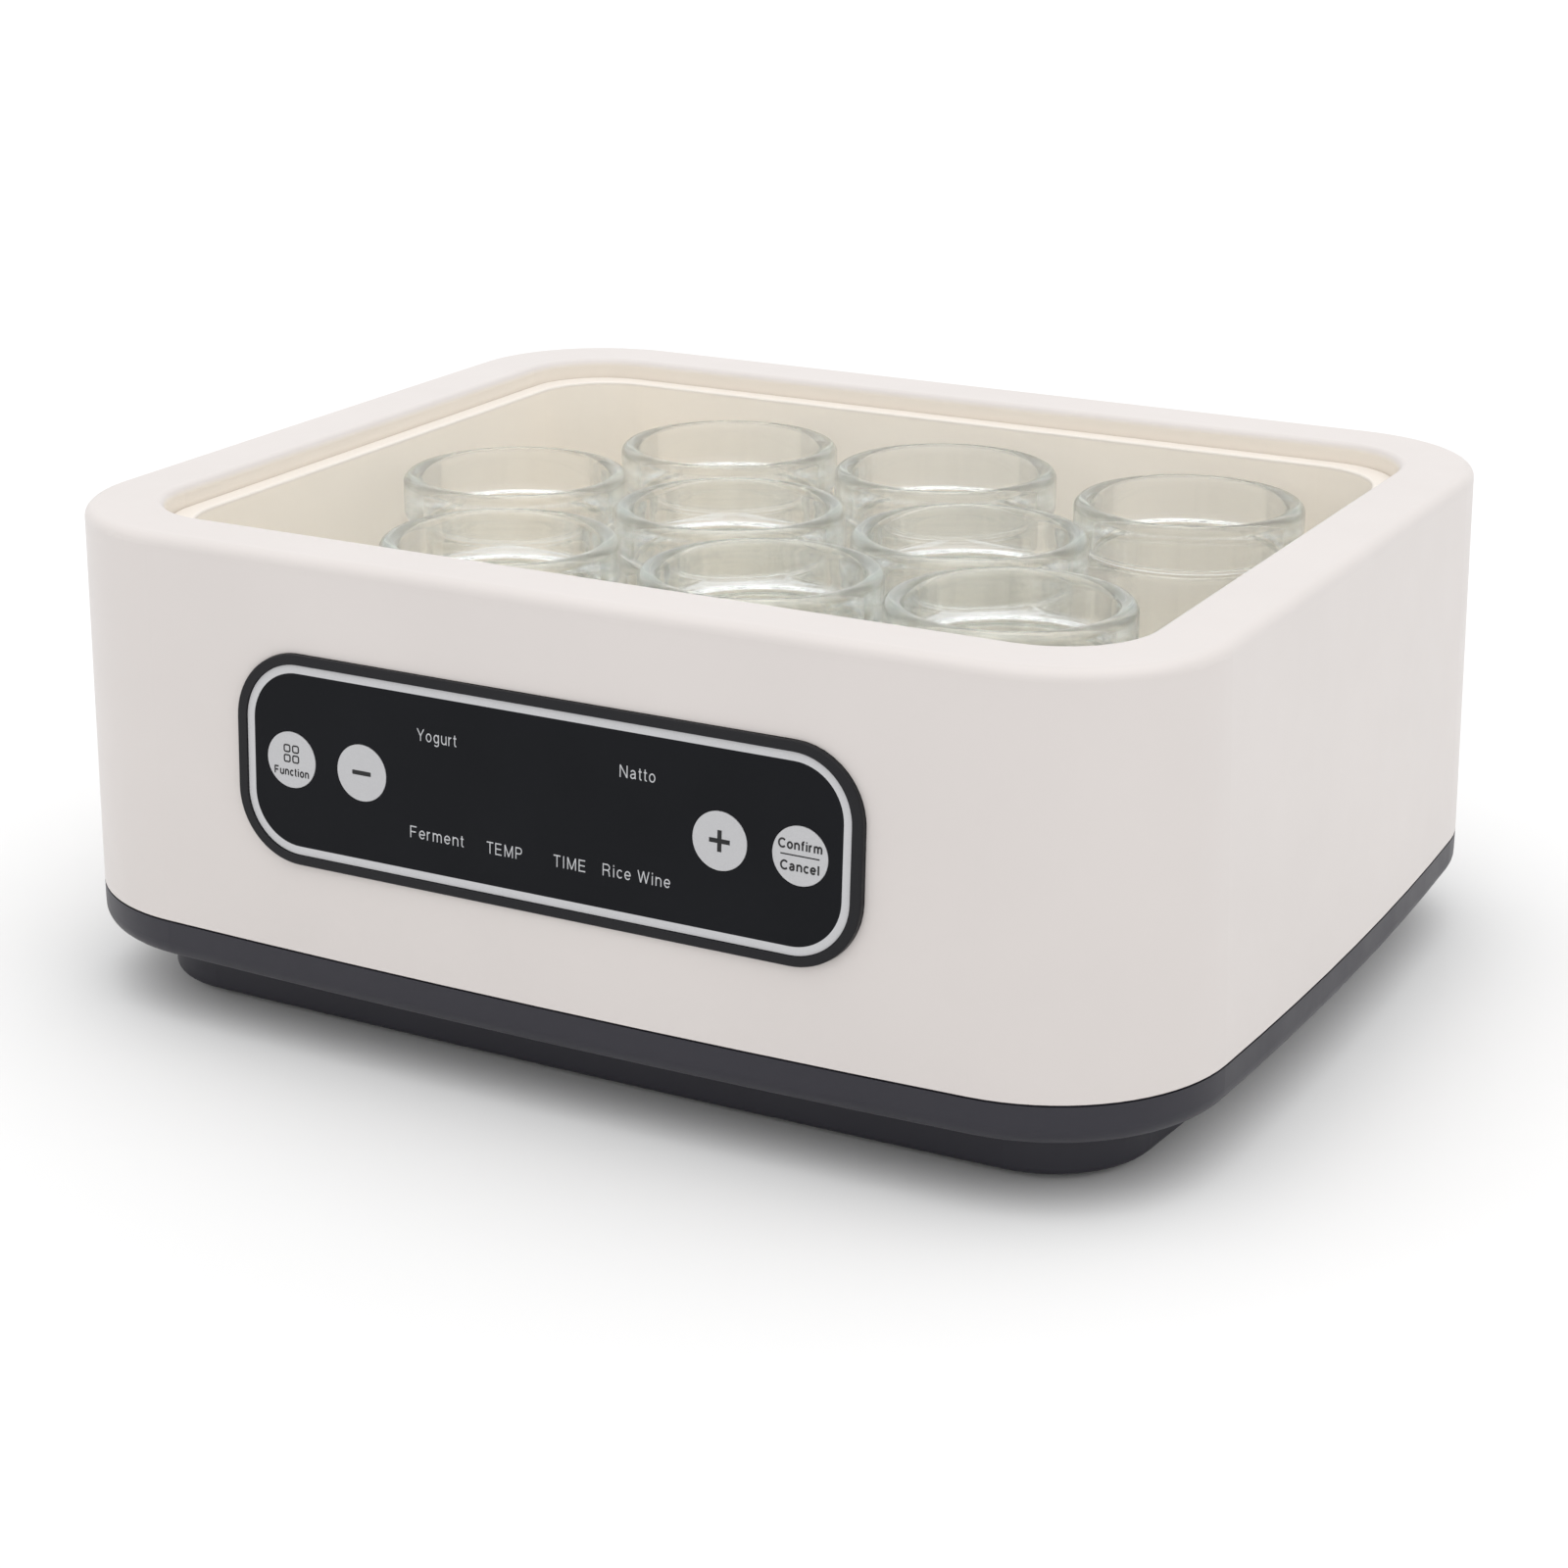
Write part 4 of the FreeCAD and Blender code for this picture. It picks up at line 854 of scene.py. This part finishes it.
def cross_plate(arm_x: float, arm_y: float, width: float, thickness: float) -> Shape:
    """A plus sign.

    Args:
        arm_x: Whole length along X.
        arm_y: Whole length along Y.
        width: Width of its arms.
        thickness: Thickness.

    Returns:
        A bmesh with the sign.
    """
    shape = bmesh.new()
    bmesh.ops.create_grid(shape, x_segments=1, y_segments=1, size=width / 2)
    for edge in shape.edges[:]:
        middle = (edge.verts[0].co + edge.verts[1].co) / 2
        outward = middle.normalized()
        arm = arm_x if abs(outward.x) > 0.5 else arm_y
        grown = bmesh.ops.extrude_edge_only(shape, edges=[edge])["geom"]
        bmesh.ops.translate(shape, vec=outward * (arm - width) / 2, verts=new_verts(grown))
    thicken(shape, thickness)
    return shape


Path = list[tuple[float, float]]


def arc(cx: float, cy: float, rx: float, ry: float, start: float, end: float) -> Path:
    """Points along part of an ellipse.

    Args:
        cx: Middle along X.
        cy: Middle along Y.
        rx: Half width.
        ry: Half height.
        start: First angle in degrees.
        end: Last angle in degrees.

    Returns:
        The points, from the first angle to the last.
    """
    steps = max(LEAST_ARC_STEPS, round(abs(end - start) / ARC_STEP))
    angles = [math.radians(start + (end - start) * k / steps) for k in range(steps + 1)]
    return [(cx + rx * math.cos(a), cy + ry * math.sin(a)) for a in angles]


def stem(x: float, low: float = 0.0, high: float = 1.0) -> Path:
    """An upright stroke."""
    return [(x, low), (x, high)]


def bar(y: float, left: float, right: float) -> Path:
    """A level stroke."""
    return [(left, y), (right, y)]


TOP = 0.945
FOOT = 0.055
LOW_TOP = 0.74
LOW_BAR = LOW_TOP - FOOT
LOW_MIDDLE = LOW_TOP / 2
LOW_HALF = LOW_MIDDLE - FOOT
LETTER_SPACE = 0.09
STEP_UP = 0.02
ARC_STEP = 12
LEAST_ARC_STEPS = 4
SHARPEST_MITRE = 0.7

# Each letter has its advance and the middle lines of its strokes, for a capital one unit high.
LETTERS: dict[str, tuple[float, list[Path]]] = {
    " ": (0.39, []),
    "C": (1.00, [arc(0.42, 0.5, 0.42, 0.445, 42, 318)]),
    "E": (0.92, [stem(0), bar(TOP, 0, 0.64), bar(0.51, 0, 0.60), bar(FOOT, 0, 0.66)]),
    "F": (0.85, [stem(0), bar(TOP, 0, 0.62), bar(0.50, 0, 0.54)]),
    "I": (0.39, [stem(0)]),
    "M": (1.16, [stem(0), stem(0.84), [(0.01, 0.98), (0.42, 0.04)], [(0.42, 0.04), (0.83, 0.98)]]),
    "N": (1.00, [stem(0), stem(0.70), [(0.02, 0.96), (0.68, 0.04)]]),
    "P": (0.92, [
        stem(0),
        [(0, TOP), (0.38, TOP)] + arc(0.38, 0.70, 0.25, 0.245, 90, -90)[1:] + [(0, 0.455)],
    ]),
    "R": (1.00, [
        stem(0),
        [(0, TOP), (0.40, TOP)] + arc(0.40, 0.71, 0.25, 0.235, 90, -90)[1:] + [(0, 0.475)],
        [(0.36, 0.475), (0.50, 0.45), (0.60, 0.36), (0.62, 0.14), (0.67, 0.0)],
    ]),
    "T": (0.85, [bar(TOP, 0, 0.74), stem(0.37)]),
    "W": (1.30, [
        [(0, 1), (0.27, 0.02)], [(0.27, 0.02), (0.55, 0.98)],
        [(0.55, 0.98), (0.83, 0.02)], [(0.83, 0.02), (1.10, 1)],
    ]),
    "Y": (0.92, [[(0, 1), (0.37, 0.42)], [(0.74, 1), (0.37, 0.42)], stem(0.37, 0, 0.44)]),
    "a": (0.77, [
        arc(0.23, 0.49, 0.22, LOW_BAR - 0.49, 160, 0) + [(0.45, 0.10), (0.51, 0.05)],
        [(0.45, 0.43), (0.24, 0.39)] + arc(0.19, 0.215, 0.19, 0.16, 100, 270)
        + [(0.33, 0.10), (0.45, 0.22)],
    ]),
    "c": (0.70, [arc(0.26, LOW_MIDDLE, 0.26, LOW_HALF, 42, 318)]),
    "e": (0.77, [arc(0.27, LOW_MIDDLE, 0.27, LOW_HALF, 0, 322), bar(LOW_MIDDLE, 0, 0.27 * 2)]),
    "f": (0.46, [
        [(0.16, 0), (0.16, 0.79)] + arc(0.32, 0.79, 0.16, TOP - 0.79, 180, 72)[1:],
        bar(LOW_BAR, 0, 0.34),
    ]),
    "g": (0.77, [
        arc(0.25, LOW_MIDDLE + 0.01, 0.25, LOW_HALF - 0.01, 0, 360),
        [(0.50, LOW_TOP), (0.50, -0.06)] + arc(0.26, -0.06, 0.24, 0.16, 0, -150)[1:],
    ]),
    "i": (0.31, [stem(0, 0, LOW_TOP), stem(0, 0.87, 1.0)]),
    "l": (0.31, [stem(0)]),
    "m": (1.16, [
        stem(0, 0, LOW_TOP),
        arc(0.21, 0.46, 0.21, LOW_BAR - 0.46, 180, 0) + [(0.42, 0)],
        arc(0.63, 0.46, 0.21, LOW_BAR - 0.46, 180, 0) + [(0.84, 0)],
    ]),
    "n": (0.77, [stem(0, 0, LOW_TOP), arc(0.25, 0.44, 0.25, LOW_BAR - 0.44, 180, 0) + [(0.50, 0)]]),
    "o": (0.77, [arc(0.27, LOW_MIDDLE, 0.27, LOW_HALF, 0, 360)]),
    "r": (0.46, [stem(0, 0, LOW_TOP), arc(0.25, 0.42, 0.25, LOW_BAR - 0.42, 180, 84)]),
    "t": (0.44, [
        [(0.14, 0.94), (0.14, 0.18)] + arc(0.28, 0.18, 0.14, 0.125, 180, 285)[1:],
        bar(LOW_BAR, 0, 0.32),
    ]),
    "u": (0.77, [
        [(0, LOW_TOP), (0, 0.30)] + arc(0.25, 0.30, 0.25, 0.245, 180, 360)[1:],
        stem(0.50, 0, LOW_TOP),
    ]),
}


def add_stroke(shape: Shape, path: Path, width: float, thickness: float) -> None:
    """Adds one stroke of even width along a path, as a thin solid.

    Args:
        shape: The bmesh that gets the stroke.
        path: The stroke's middle line. A closed one ends where it starts.
        width: Width of the stroke.
        thickness: Its thickness.
    """
    points = [Vector((x, y, 0)) for x, y in path]
    closed = (points[0] - points[-1]).length < 1e-6
    if closed:
        points.pop()
    last = len(points) - 1
    sides = []
    for index, point in enumerate(points):
        before = points[index - 1] if index or closed else point
        after = points[(index + 1) % len(points)] if index < last or closed else point
        legs = [leg.normalized() for leg in (point - before, after - point) if leg.length > 1e-9]
        along = (legs[0] + legs[-1]).normalized()
        half = width / 2 / max(SHARPEST_MITRE, along.dot(legs[0]))
        sides.append(Vector((-along.y, along.x, 0)) * half)
    rail = [shape.verts.new(point - side) for point, side in zip(points, sides)]
    pairs = list(zip(rail, rail[1:])) + ([(rail[-1], rail[0])] if closed else [])
    line = [shape.edges.new(pair) for pair in pairs]
    grown = bmesh.ops.extrude_edge_only(shape, edges=line)["geom"]
    for vert in new_verts(grown):
        index = min(range(len(rail)), key=lambda k: (rail[k].co - vert.co).length)
        vert.co += sides[index] * 2
    faces = [item for item in grown if isinstance(item, bmesh.types.BMFace)]
    raised = bmesh.ops.extrude_face_region(shape, geom=faces)["geom"]
    bmesh.ops.translate(shape, vec=(0, 0, thickness), verts=new_verts(raised))


def lettering(
    words: str, width: float, cap_height: float, thickness: float, stroke: float,
) -> Shape:
    """Words as thin raised strokes, centred on their capitals.

    Args:
        words: The words.
        width: Their whole width.
        cap_height: Height of a capital letter.
        thickness: Thickness of the print.
        stroke: Width of a stroke, in parts of a capital's height.

    Returns:
        A bmesh with the letters.
    """
    shape = bmesh.new()
    start, count = 0.0, 0
    for letter in words:
        advance, paths = LETTERS[letter]
        reach = max((x for path in paths for x, _ in path), default=0.0)
        margin = (advance - reach) / 2
        for path in paths:
            # Each stroke is a little higher than the last, so that no two tops lie in one plane.
            count += 1
            shifted = [(x + start + margin, y - 0.5) for x, y in path]
            add_stroke(shape, shifted, stroke, 1.0 + STEP_UP * count)
        start += advance + LETTER_SPACE
    bmesh.ops.recalc_face_normals(shape, faces=shape.faces)
    left = min(v.co.x for v in shape.verts)
    right = max(v.co.x for v in shape.verts)
    bmesh.ops.translate(shape, vec=(-(left + right) / 2, 0, 0), verts=shape.verts)
    bmesh.ops.scale(shape, vec=(width / (right - left), cap_height, thickness), verts=shape.verts)
    return shape


# ------------------------------------------------------------------ sub-assemblies


@dataclass(frozen=True)
class PanelPlane:
    """The front of the control panel's film, as a drawing plane."""

    origin: Vector
    up: Vector
    out: Vector
    half_height: float
    half_thickness: float = 0.25 * MM

    @classmethod
    def of_film(cls) -> "PanelPlane":
        """Finds the plane from the film's box and the way the keys press."""
        press = next(j for j in frame["joints"] if j["child"] == "key_function")["axis"]
        out = -Vector(press).normalized()
        up = out.cross(Vector((1, 0, 0)))
        low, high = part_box("panel_overlay")
        size = high - low
        spread = up.z ** 2 - up.y ** 2
        thickness = (size.y * up.z - size.z * up.y) / spread
        height = (size.z * up.z - size.y * up.y) / spread
        return cls((low + high) / 2 + out * thickness / 2, up, out, height / 2)

    def at(self, x: float, y: float) -> Matrix:
        """Place of a drawing whose middle is at x and y on the film."""
        spot = self.origin + Vector((x, 0, 0)) + self.up * y + self.out * HAIR
        return Matrix((
            (1, self.up.x, self.out.x, spot.x),
            (0, self.up.y, self.out.y, spot.y),
            (0, self.up.z, self.out.z, spot.z),
            (0, 0, 0, 1),
        ))

    def height_of(self, node: str) -> float:
        """How far up the film the middle of a node is."""
        low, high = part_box(node)
        middle = self.origin.z - self.out.z * self.half_thickness
        return ((low.z + high.z) / 2 - middle) / self.up.z


@dataclass(frozen=True)
class Word:
    """One word printed on the film."""

    words: str
    centre_x: float
    centre_y: float
    width: float
    cap_height: float = 2.8 * MM
    stroke: float = 0.098

    @property
    def piece_name(self) -> str:
        """Name of its piece."""
        return "label_" + self.words.lower().replace(" ", "_")


@dataclass
class ControlPanel:
    """The silver line and the words printed on the panel's film."""

    shop: Paintshop
    plane: PanelPlane
    line_width: float = 1.95 * MM
    line_margin: float = 0.05 * MM
    corner_radius: float = 14.2 * MM
    ink_thickness: float = 0.025 * MM
    line_ink: ScreenInk = ScreenInk("line_silver", tone(190, 190, 192), 0.36)
    word_ink: ScreenInk = ScreenInk("word_white", tone(186, 187, 190), 0.42)
    labels: tuple[Word, ...] = (
        Word("Yogurt", -26.0 * MM, 11.5 * MM, 10.5 * MM),
        Word("Natto", 26.0 * MM, 11.6 * MM, 8.9 * MM),
        Word("Ferment", -26.1 * MM, -11.6 * MM, 14.4 * MM),
        Word("TEMP", -8.1 * MM, -11.8 * MM, 9.3 * MM),
        Word("TIME", 8.9 * MM, -11.8 * MM, 8.2 * MM),
        Word("Rice Wine", 26.0 * MM, -11.6 * MM, 17.1 * MM),
    )

    def build(self) -> list[Piece]:
        """Makes the line and the words.

        Returns:
            The new pieces.
        """
        low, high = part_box("panel_overlay")
        line = outlined_plate(
            (high.x - low.x) / 2 - self.line_margin, self.plane.half_height - self.line_margin,
            self.corner_radius - self.line_margin, self.line_width, self.ink_thickness,
        )
        ring = finished(line, "panel_line", self.plane.at(0, 0), smooth=False)
        pieces = [self.shop.dress(ring, self.line_ink, Slot.KEY_GREY, Body.APPLIANCE.value)]
        for label in self.labels:
            shape = lettering(
                label.words, label.width, label.cap_height, self.ink_thickness, label.stroke,
            )
            place = self.plane.at(label.centre_x, label.centre_y)
            word = finished(shape, label.piece_name, place, smooth=False)
            pieces.append(self.shop.dress(word, self.word_ink, Slot.KEY_GREY, Body.APPLIANCE.value))
        return pieces


class Legend(Enum):
    """What is printed on a key."""

    FUNCTION = "key_function"
    MINUS = "key_minus"
    PLUS = "key_plus"
    CONFIRM = "key_confirm"


@dataclass
class KeyPrint:
    """The dark legend on one round key, which moves with the key."""

    shop: Paintshop
    plane: PanelPlane
    legend: Legend
    ink_thickness: float = 0.02 * MM
    square_half: float = 0.98 * MM
    square_gap: float = 0.42 * MM
    square_line: float = 0.37 * MM
    square_corner: float = 0.6 * MM
    squares_up: float = 1.45 * MM
    bar_length: float = 5.1 * MM
    upright_share: float = 0.96
    bar_width: float = 1.05 * MM
    stroke: float = 0.21
    ink: ScreenInk = ScreenInk("legend_black", tone(12, 12, 14), 0.5)

    def build(self) -> list[Piece]:
        """Makes the legend's pieces in place on the key.

        Returns:
            The new pieces.
        """
        low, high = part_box(self.legend.value)
        x = (low.x + high.x) / 2
        y = self.plane.height_of(self.legend.value)
        drawings = {
            Legend.FUNCTION: self.function_drawings,
            Legend.MINUS: self.minus_drawings,
            Legend.PLUS: self.plus_drawings,
            Legend.CONFIRM: self.confirm_drawings,
        }[self.legend]()
        pieces = []
        for name, shape, dx, dy in drawings:
            place = self.plane.at(x + dx, y + dy)
            piece = finished(shape, f"{self.legend.value}_{name}", place, smooth=False)
            pieces.append(self.shop.dress(piece, self.ink, Slot.KEY_GREY, self.legend.value))
        return pieces

    def word(self, words: str, width: float, cap_height: float) -> Shape:
        """A bold word."""
        return lettering(words, width, cap_height, self.ink_thickness, self.stroke)

    def function_drawings(self) -> list[tuple[str, Shape, float, float]]:
        """Four outlined squares over the word."""
        step = self.square_half + self.square_gap / 2
        found = []
        for index, (sx, sy) in enumerate(((-1, 1), (1, 1), (-1, -1), (1, -1))):
            square = outlined_plate(
                self.square_half, self.square_half, self.square_corner, self.square_line,
                self.ink_thickness,
            )
            found.append((f"square_{index + 1}", square, sx * step, sy * step + self.squares_up))
        found.append(("word", self.word("Function", 9.7 * MM, 1.85 * MM), 0.0, -2.85 * MM))
        return found

    def minus_drawings(self) -> list[tuple[str, Shape, float, float]]:
        """A level bar."""
        bar = rounded_plate(self.bar_length / 2, self.bar_width / 2, 0.2 * MM, 6)
        thicken(bar, self.ink_thickness)
        return [("bar", bar, 0.0, 0.0)]

    def plus_drawings(self) -> list[tuple[str, Shape, float, float]]:
        """A plus sign."""
        upright = self.bar_length * self.upright_share
        sign = cross_plate(self.bar_length, upright, self.bar_width, self.ink_thickness)
        return [("sign", sign, 0.0, 0.0)]

    def confirm_drawings(self) -> list[tuple[str, Shape, float, float]]:
        """Two words with a line between them."""
        line = rounded_plate(4.7 * MM, 0.15 * MM, 0.05 * MM, 3)
        thicken(line, self.ink_thickness)
        return [
            ("upper_word", self.word("Confirm", 10.6 * MM, 2.1 * MM), 0.0, 2.35 * MM),
            ("line", line, 0.0, 0.0),
            ("lower_word", self.word("Cancel", 9.4 * MM, 2.1 * MM), 0.0, -2.45 * MM),
        ]


@dataclass
class GlassJar:
    """One jar, turned about its axis from its section, with its mould seams."""

    shop: Paintshop
    number: int
    turn: float
    lip_wall: float = 4.9 * MM
    lip_rounding: float = 2.3 * MM
    collar_height: float = 9.5 * MM
    groove_depth: float = 2.9 * MM
    groove_land: float = 0.8 * MM
    body_step: float = 0.5 * MM
    side_wall: float = 3.1 * MM
    shoulder_height: float = 5.0 * MM
    floor: float = 5.0 * MM
    heel_radius: float = 5.0 * MM
    inner_heel_radius: float = 6.0 * MM
    punt_depth: float = 1.2 * MM
    punt_margin: float = 8.0 * MM
    punt_rounding: float = 1.0 * MM
    foot_rounding: float = 0.5 * MM
    groove_edge: float = 0.1 * MM
    groove_rounding: float = 0.25 * MM
    throat_rounding: float = 1.2 * MM
    shoulder_rounding: float = 2.0 * MM
    seam_height: float = 0.07 * MM
    seam_reach: float = 0.1 * MM
    seam_half_width: float = 0.2 * MM
    stand_off: float = 0.03 * MM
    steps: int = 120

    @property
    def node(self) -> str:
        """Name of the jar's node and body."""
        return f"jar_{self.number}"

    def section(self, lip: float, height: float) -> Shape:
        """The cut through one side of the jar, with every corner rounded.

        Args:
            lip: Outside radius of the lip.
            height: Whole height.

        Returns:
            A bmesh with the open outline of the cut, in the XZ plane.
        """
        mouth = lip - self.lip_wall
        groove = lip - self.groove_depth
        body = lip - self.body_step
        inner = body - self.side_wall
        punt = body - self.punt_margin
        groove_z = height - self.collar_height - self.groove_depth
        land_z = groove_z - self.groove_land
        corners = [
            (0.0, self.punt_depth, 0.0),
            (punt - self.punt_depth, self.punt_depth, self.punt_rounding),
            (punt, 0.0, self.foot_rounding),
            (body, 0.0, self.heel_radius),
            (body, land_z, body - groove - self.groove_edge),
            (groove, land_z, self.groove_rounding),
            (groove, groove_z, self.groove_rounding),
            (lip, groove_z, self.groove_depth - self.groove_edge),
            (lip, height, self.lip_rounding),
            (mouth, height, self.lip_rounding),
            (mouth, land_z, self.throat_rounding),
            (inner, land_z - self.shoulder_height, self.shoulder_rounding),
            (inner, self.floor, self.inner_heel_radius),
            (0.0, self.floor, 0.0),
        ]
        shape = bmesh.new()
        points = [shape.verts.new((x, 0, z)) for x, z, _ in corners]
        shape.faces.new(points)
        for point, (_, _, rounding) in zip(points, corners):
            if rounding:
                bmesh.ops.bevel(
                    shape, geom=[point], offset=rounding, offset_type="OFFSET", segments=8,
                    profile=0.5, affect="VERTICES", clamp_overlap=False, material=-1,
                )
        bmesh.ops.delete(shape, geom=shape.faces[:], context="FACES_ONLY")
        axis = [edge for edge in shape.edges if all(abs(v.co.x) < HAIR for v in edge.verts)]
        bmesh.ops.delete(shape, geom=axis, context="EDGES")
        return shape

    def build(self) -> Piece:
        """Turns the jar and puts it where its node stands.

        Returns:
            The new jar.
        """
        low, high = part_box(self.node)
        lip = (high.x - low.x) / 2
        shape = self.section(lip, high.z - low.z - self.stand_off)
        bmesh.ops.spin(
            shape, geom=shape.verts[:] + shape.edges[:], cent=(0, 0, 0), axis=(0, 0, 1),
            dvec=(0, 0, 0), angle=math.tau, steps=self.steps, use_merge=True,
        )
        bmesh.ops.remove_doubles(shape, verts=shape.verts, dist=HAIR)
        bmesh.ops.recalc_face_normals(shape, faces=shape.faces)
        self.raise_seams(shape, lip)
        middle = (low + high) / 2
        place = Matrix.Translation((middle.x, middle.y, low.z + self.stand_off))
        piece = finished(shape, f"glass_{self.node}", place @ Matrix.Rotation(self.turn, 4, "Z"))
        even_shading(piece)
        self.shop.dress(piece, FINISHES[Slot.JAR_GLASS], Slot.JAR_GLASS, self.node)
        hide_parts(self.node)
        return piece

    def raise_seams(self, shape: Shape, lip: float) -> None:
        """Raises the two faint seams where the halves of the mould met.

        Args:
            shape: The turned jar, changed in place.
            lip: Outside radius of the lip, which nothing may pass.
        """
        body = lip - self.body_step
        for vert in shape.verts:
            reach = math.hypot(vert.co.x, vert.co.y)
            if abs(vert.co.y) < self.seam_half_width and abs(reach - body) < self.seam_reach:
                vert.co.x *= (reach + self.seam_height) / reach


# ------------------------------------------------------------------ studio


@dataclass
class FrontCamera:
    """Camera in front of the right-hand front corner, looking down at the jars."""

    place: tuple[float, float, float] = (0.3668, -0.6919, 0.3145)
    lens: float = 74.69
    yaw: float = -0.4912
    pitch: float = 0.3353
    roll: float = 0.0029

    def build(self) -> Piece:
        """Makes the camera and sets it as the scene's.

        Returns:
            The camera.
        """
        ahead = Vector((
            math.sin(self.yaw) * math.cos(self.pitch),
            math.cos(self.yaw) * math.cos(self.pitch),
            -math.sin(self.pitch),
        ))
        level = Vector((math.cos(self.yaw), -math.sin(self.yaw), 0))
        above = level.cross(ahead)
        right = level * math.cos(self.roll) + above * math.sin(self.roll)
        up = above * math.cos(self.roll) - level * math.sin(self.roll)
        data = bpy.data.cameras.new("front_camera")
        data.lens = self.lens
        data.sensor_width = 36.0
        data.clip_start = 0.01
        camera = bpy.data.objects.new("front_camera", data)
        camera.matrix_world = Matrix((
            (right.x, up.x, -ahead.x, self.place[0]),
            (right.y, up.y, -ahead.y, self.place[1]),
            (right.z, up.z, -ahead.z, self.place[2]),
            (0, 0, 0, 1),
        ))
        bpy.context.scene.collection.objects.link(camera)
        bpy.context.scene.camera = camera
        return camera


@dataclass(frozen=True)
class SoftSky:
    """A very wide overhead light that reaches the whole floor evenly."""

    strength: float = 1.0
    width: float = math.radians(80)
    lean: tuple[float, float, float] = (math.radians(6), math.radians(9), 0.0)

    def build(self) -> Piece:
        """Makes the light.

        Returns:
            The light.
        """
        data = bpy.data.lights.new("overhead", "SUN")
        data.energy = self.strength
        data.angle = self.width
        light = bpy.data.objects.new("overhead", data)
        light.rotation_euler = self.lean
        light.location = (0.0, 0.0, 2.0)
        bpy.context.scene.collection.objects.link(light)
        return light


@dataclass
class SoftStudio:
    """White floor, even white surroundings and one wide light overhead."""

    floor_half: float = 9.0
    floor_colour: Colour = (0.80, 0.80, 0.80)
    cloud_size: float = 0.6
    surround_low: float = 0.98
    surround_high: float = 1.06
    light_bounces: int = 32
    overhead: SoftSky = SoftSky()

    def floor_material(self) -> bpy.types.Material:
        """Painted floor with a barely visible roller mark."""
        bench = NodeBench("studio_floor")
        cloud = bench.noise(self.cloud_size, 2.0)
        bench.colour(bench.mottled(cloud, self.floor_colour, 0.995, 1.005))
        bench.set(Roughness=0.9, Specular_IOR_Level=0.1)
        return bench.material

    def surroundings(self) -> bpy.types.World:
        """White surroundings that are brighter overhead than at floor level.

        Returns:
            The world.
        """
        world = bpy.data.worlds.new("studio")
        world.use_nodes = True
        tree = world.node_tree
        background = tree.nodes["Background"]
        background.inputs["Color"].default_value = (1.0, 1.0, 1.0, 1.0)
        direction = tree.nodes.new("ShaderNodeTexCoord")
        split = tree.nodes.new("ShaderNodeSeparateXYZ")
        height = tree.nodes.new("ShaderNodeMapRange")
        height.inputs["To Min"].default_value = self.surround_low
        height.inputs["To Max"].default_value = self.surround_high
        tree.links.new(direction.outputs["Generated"], split.inputs["Vector"])
        tree.links.new(split.outputs["Z"], height.inputs["Value"])
        tree.links.new(height.outputs["Result"], background.inputs["Strength"])
        return world

    def build(self) -> Piece:
        """Makes the floor, the surroundings and the lights.

        Returns:
            The floor.
        """
        shape = bmesh.new()
        bmesh.ops.create_grid(shape, x_segments=1, y_segments=1, size=self.floor_half)
        floor = finished(shape, "studio_floor", Matrix.Identity(4), smooth=False)
        floor.data.materials.append(self.floor_material())
        bpy.context.scene.world = self.surroundings()
        bpy.context.scene.view_settings.view_transform = "Standard"
        bpy.context.scene.cycles.max_bounces = self.light_bounces
        bpy.context.scene.cycles.transmission_bounces = self.light_bounces
        self.overhead.build()
        return floor


# ------------------------------------------------------------------ the whole


def main() -> None:
    """Builds the studio and every piece in order, and reports each one."""
    FrontCamera().build()
    SoftStudio().build()
    shop = Paintshop()
    count = shop.dress_nodes(frame["record"], frame["nodes"])
    log.info("dressed %d nodes of the model", count)
    plane = PanelPlane.of_film()
    for piece in ControlPanel(shop, plane).build():
        log.info("panel print: %s", piece.name)
    for legend in Legend:
        for piece in KeyPrint(shop, plane, legend).build():
            log.info("key print: %s", piece.name)
    for number in range(1, JARS + 1):
        jar = GlassJar(shop, number, turn=math.radians(JAR_TURN * number)).build()
        log.info("jar: %s with %d faces", jar.name, len(jar.data.polygons))


if __name__ == "__main__":
    main()
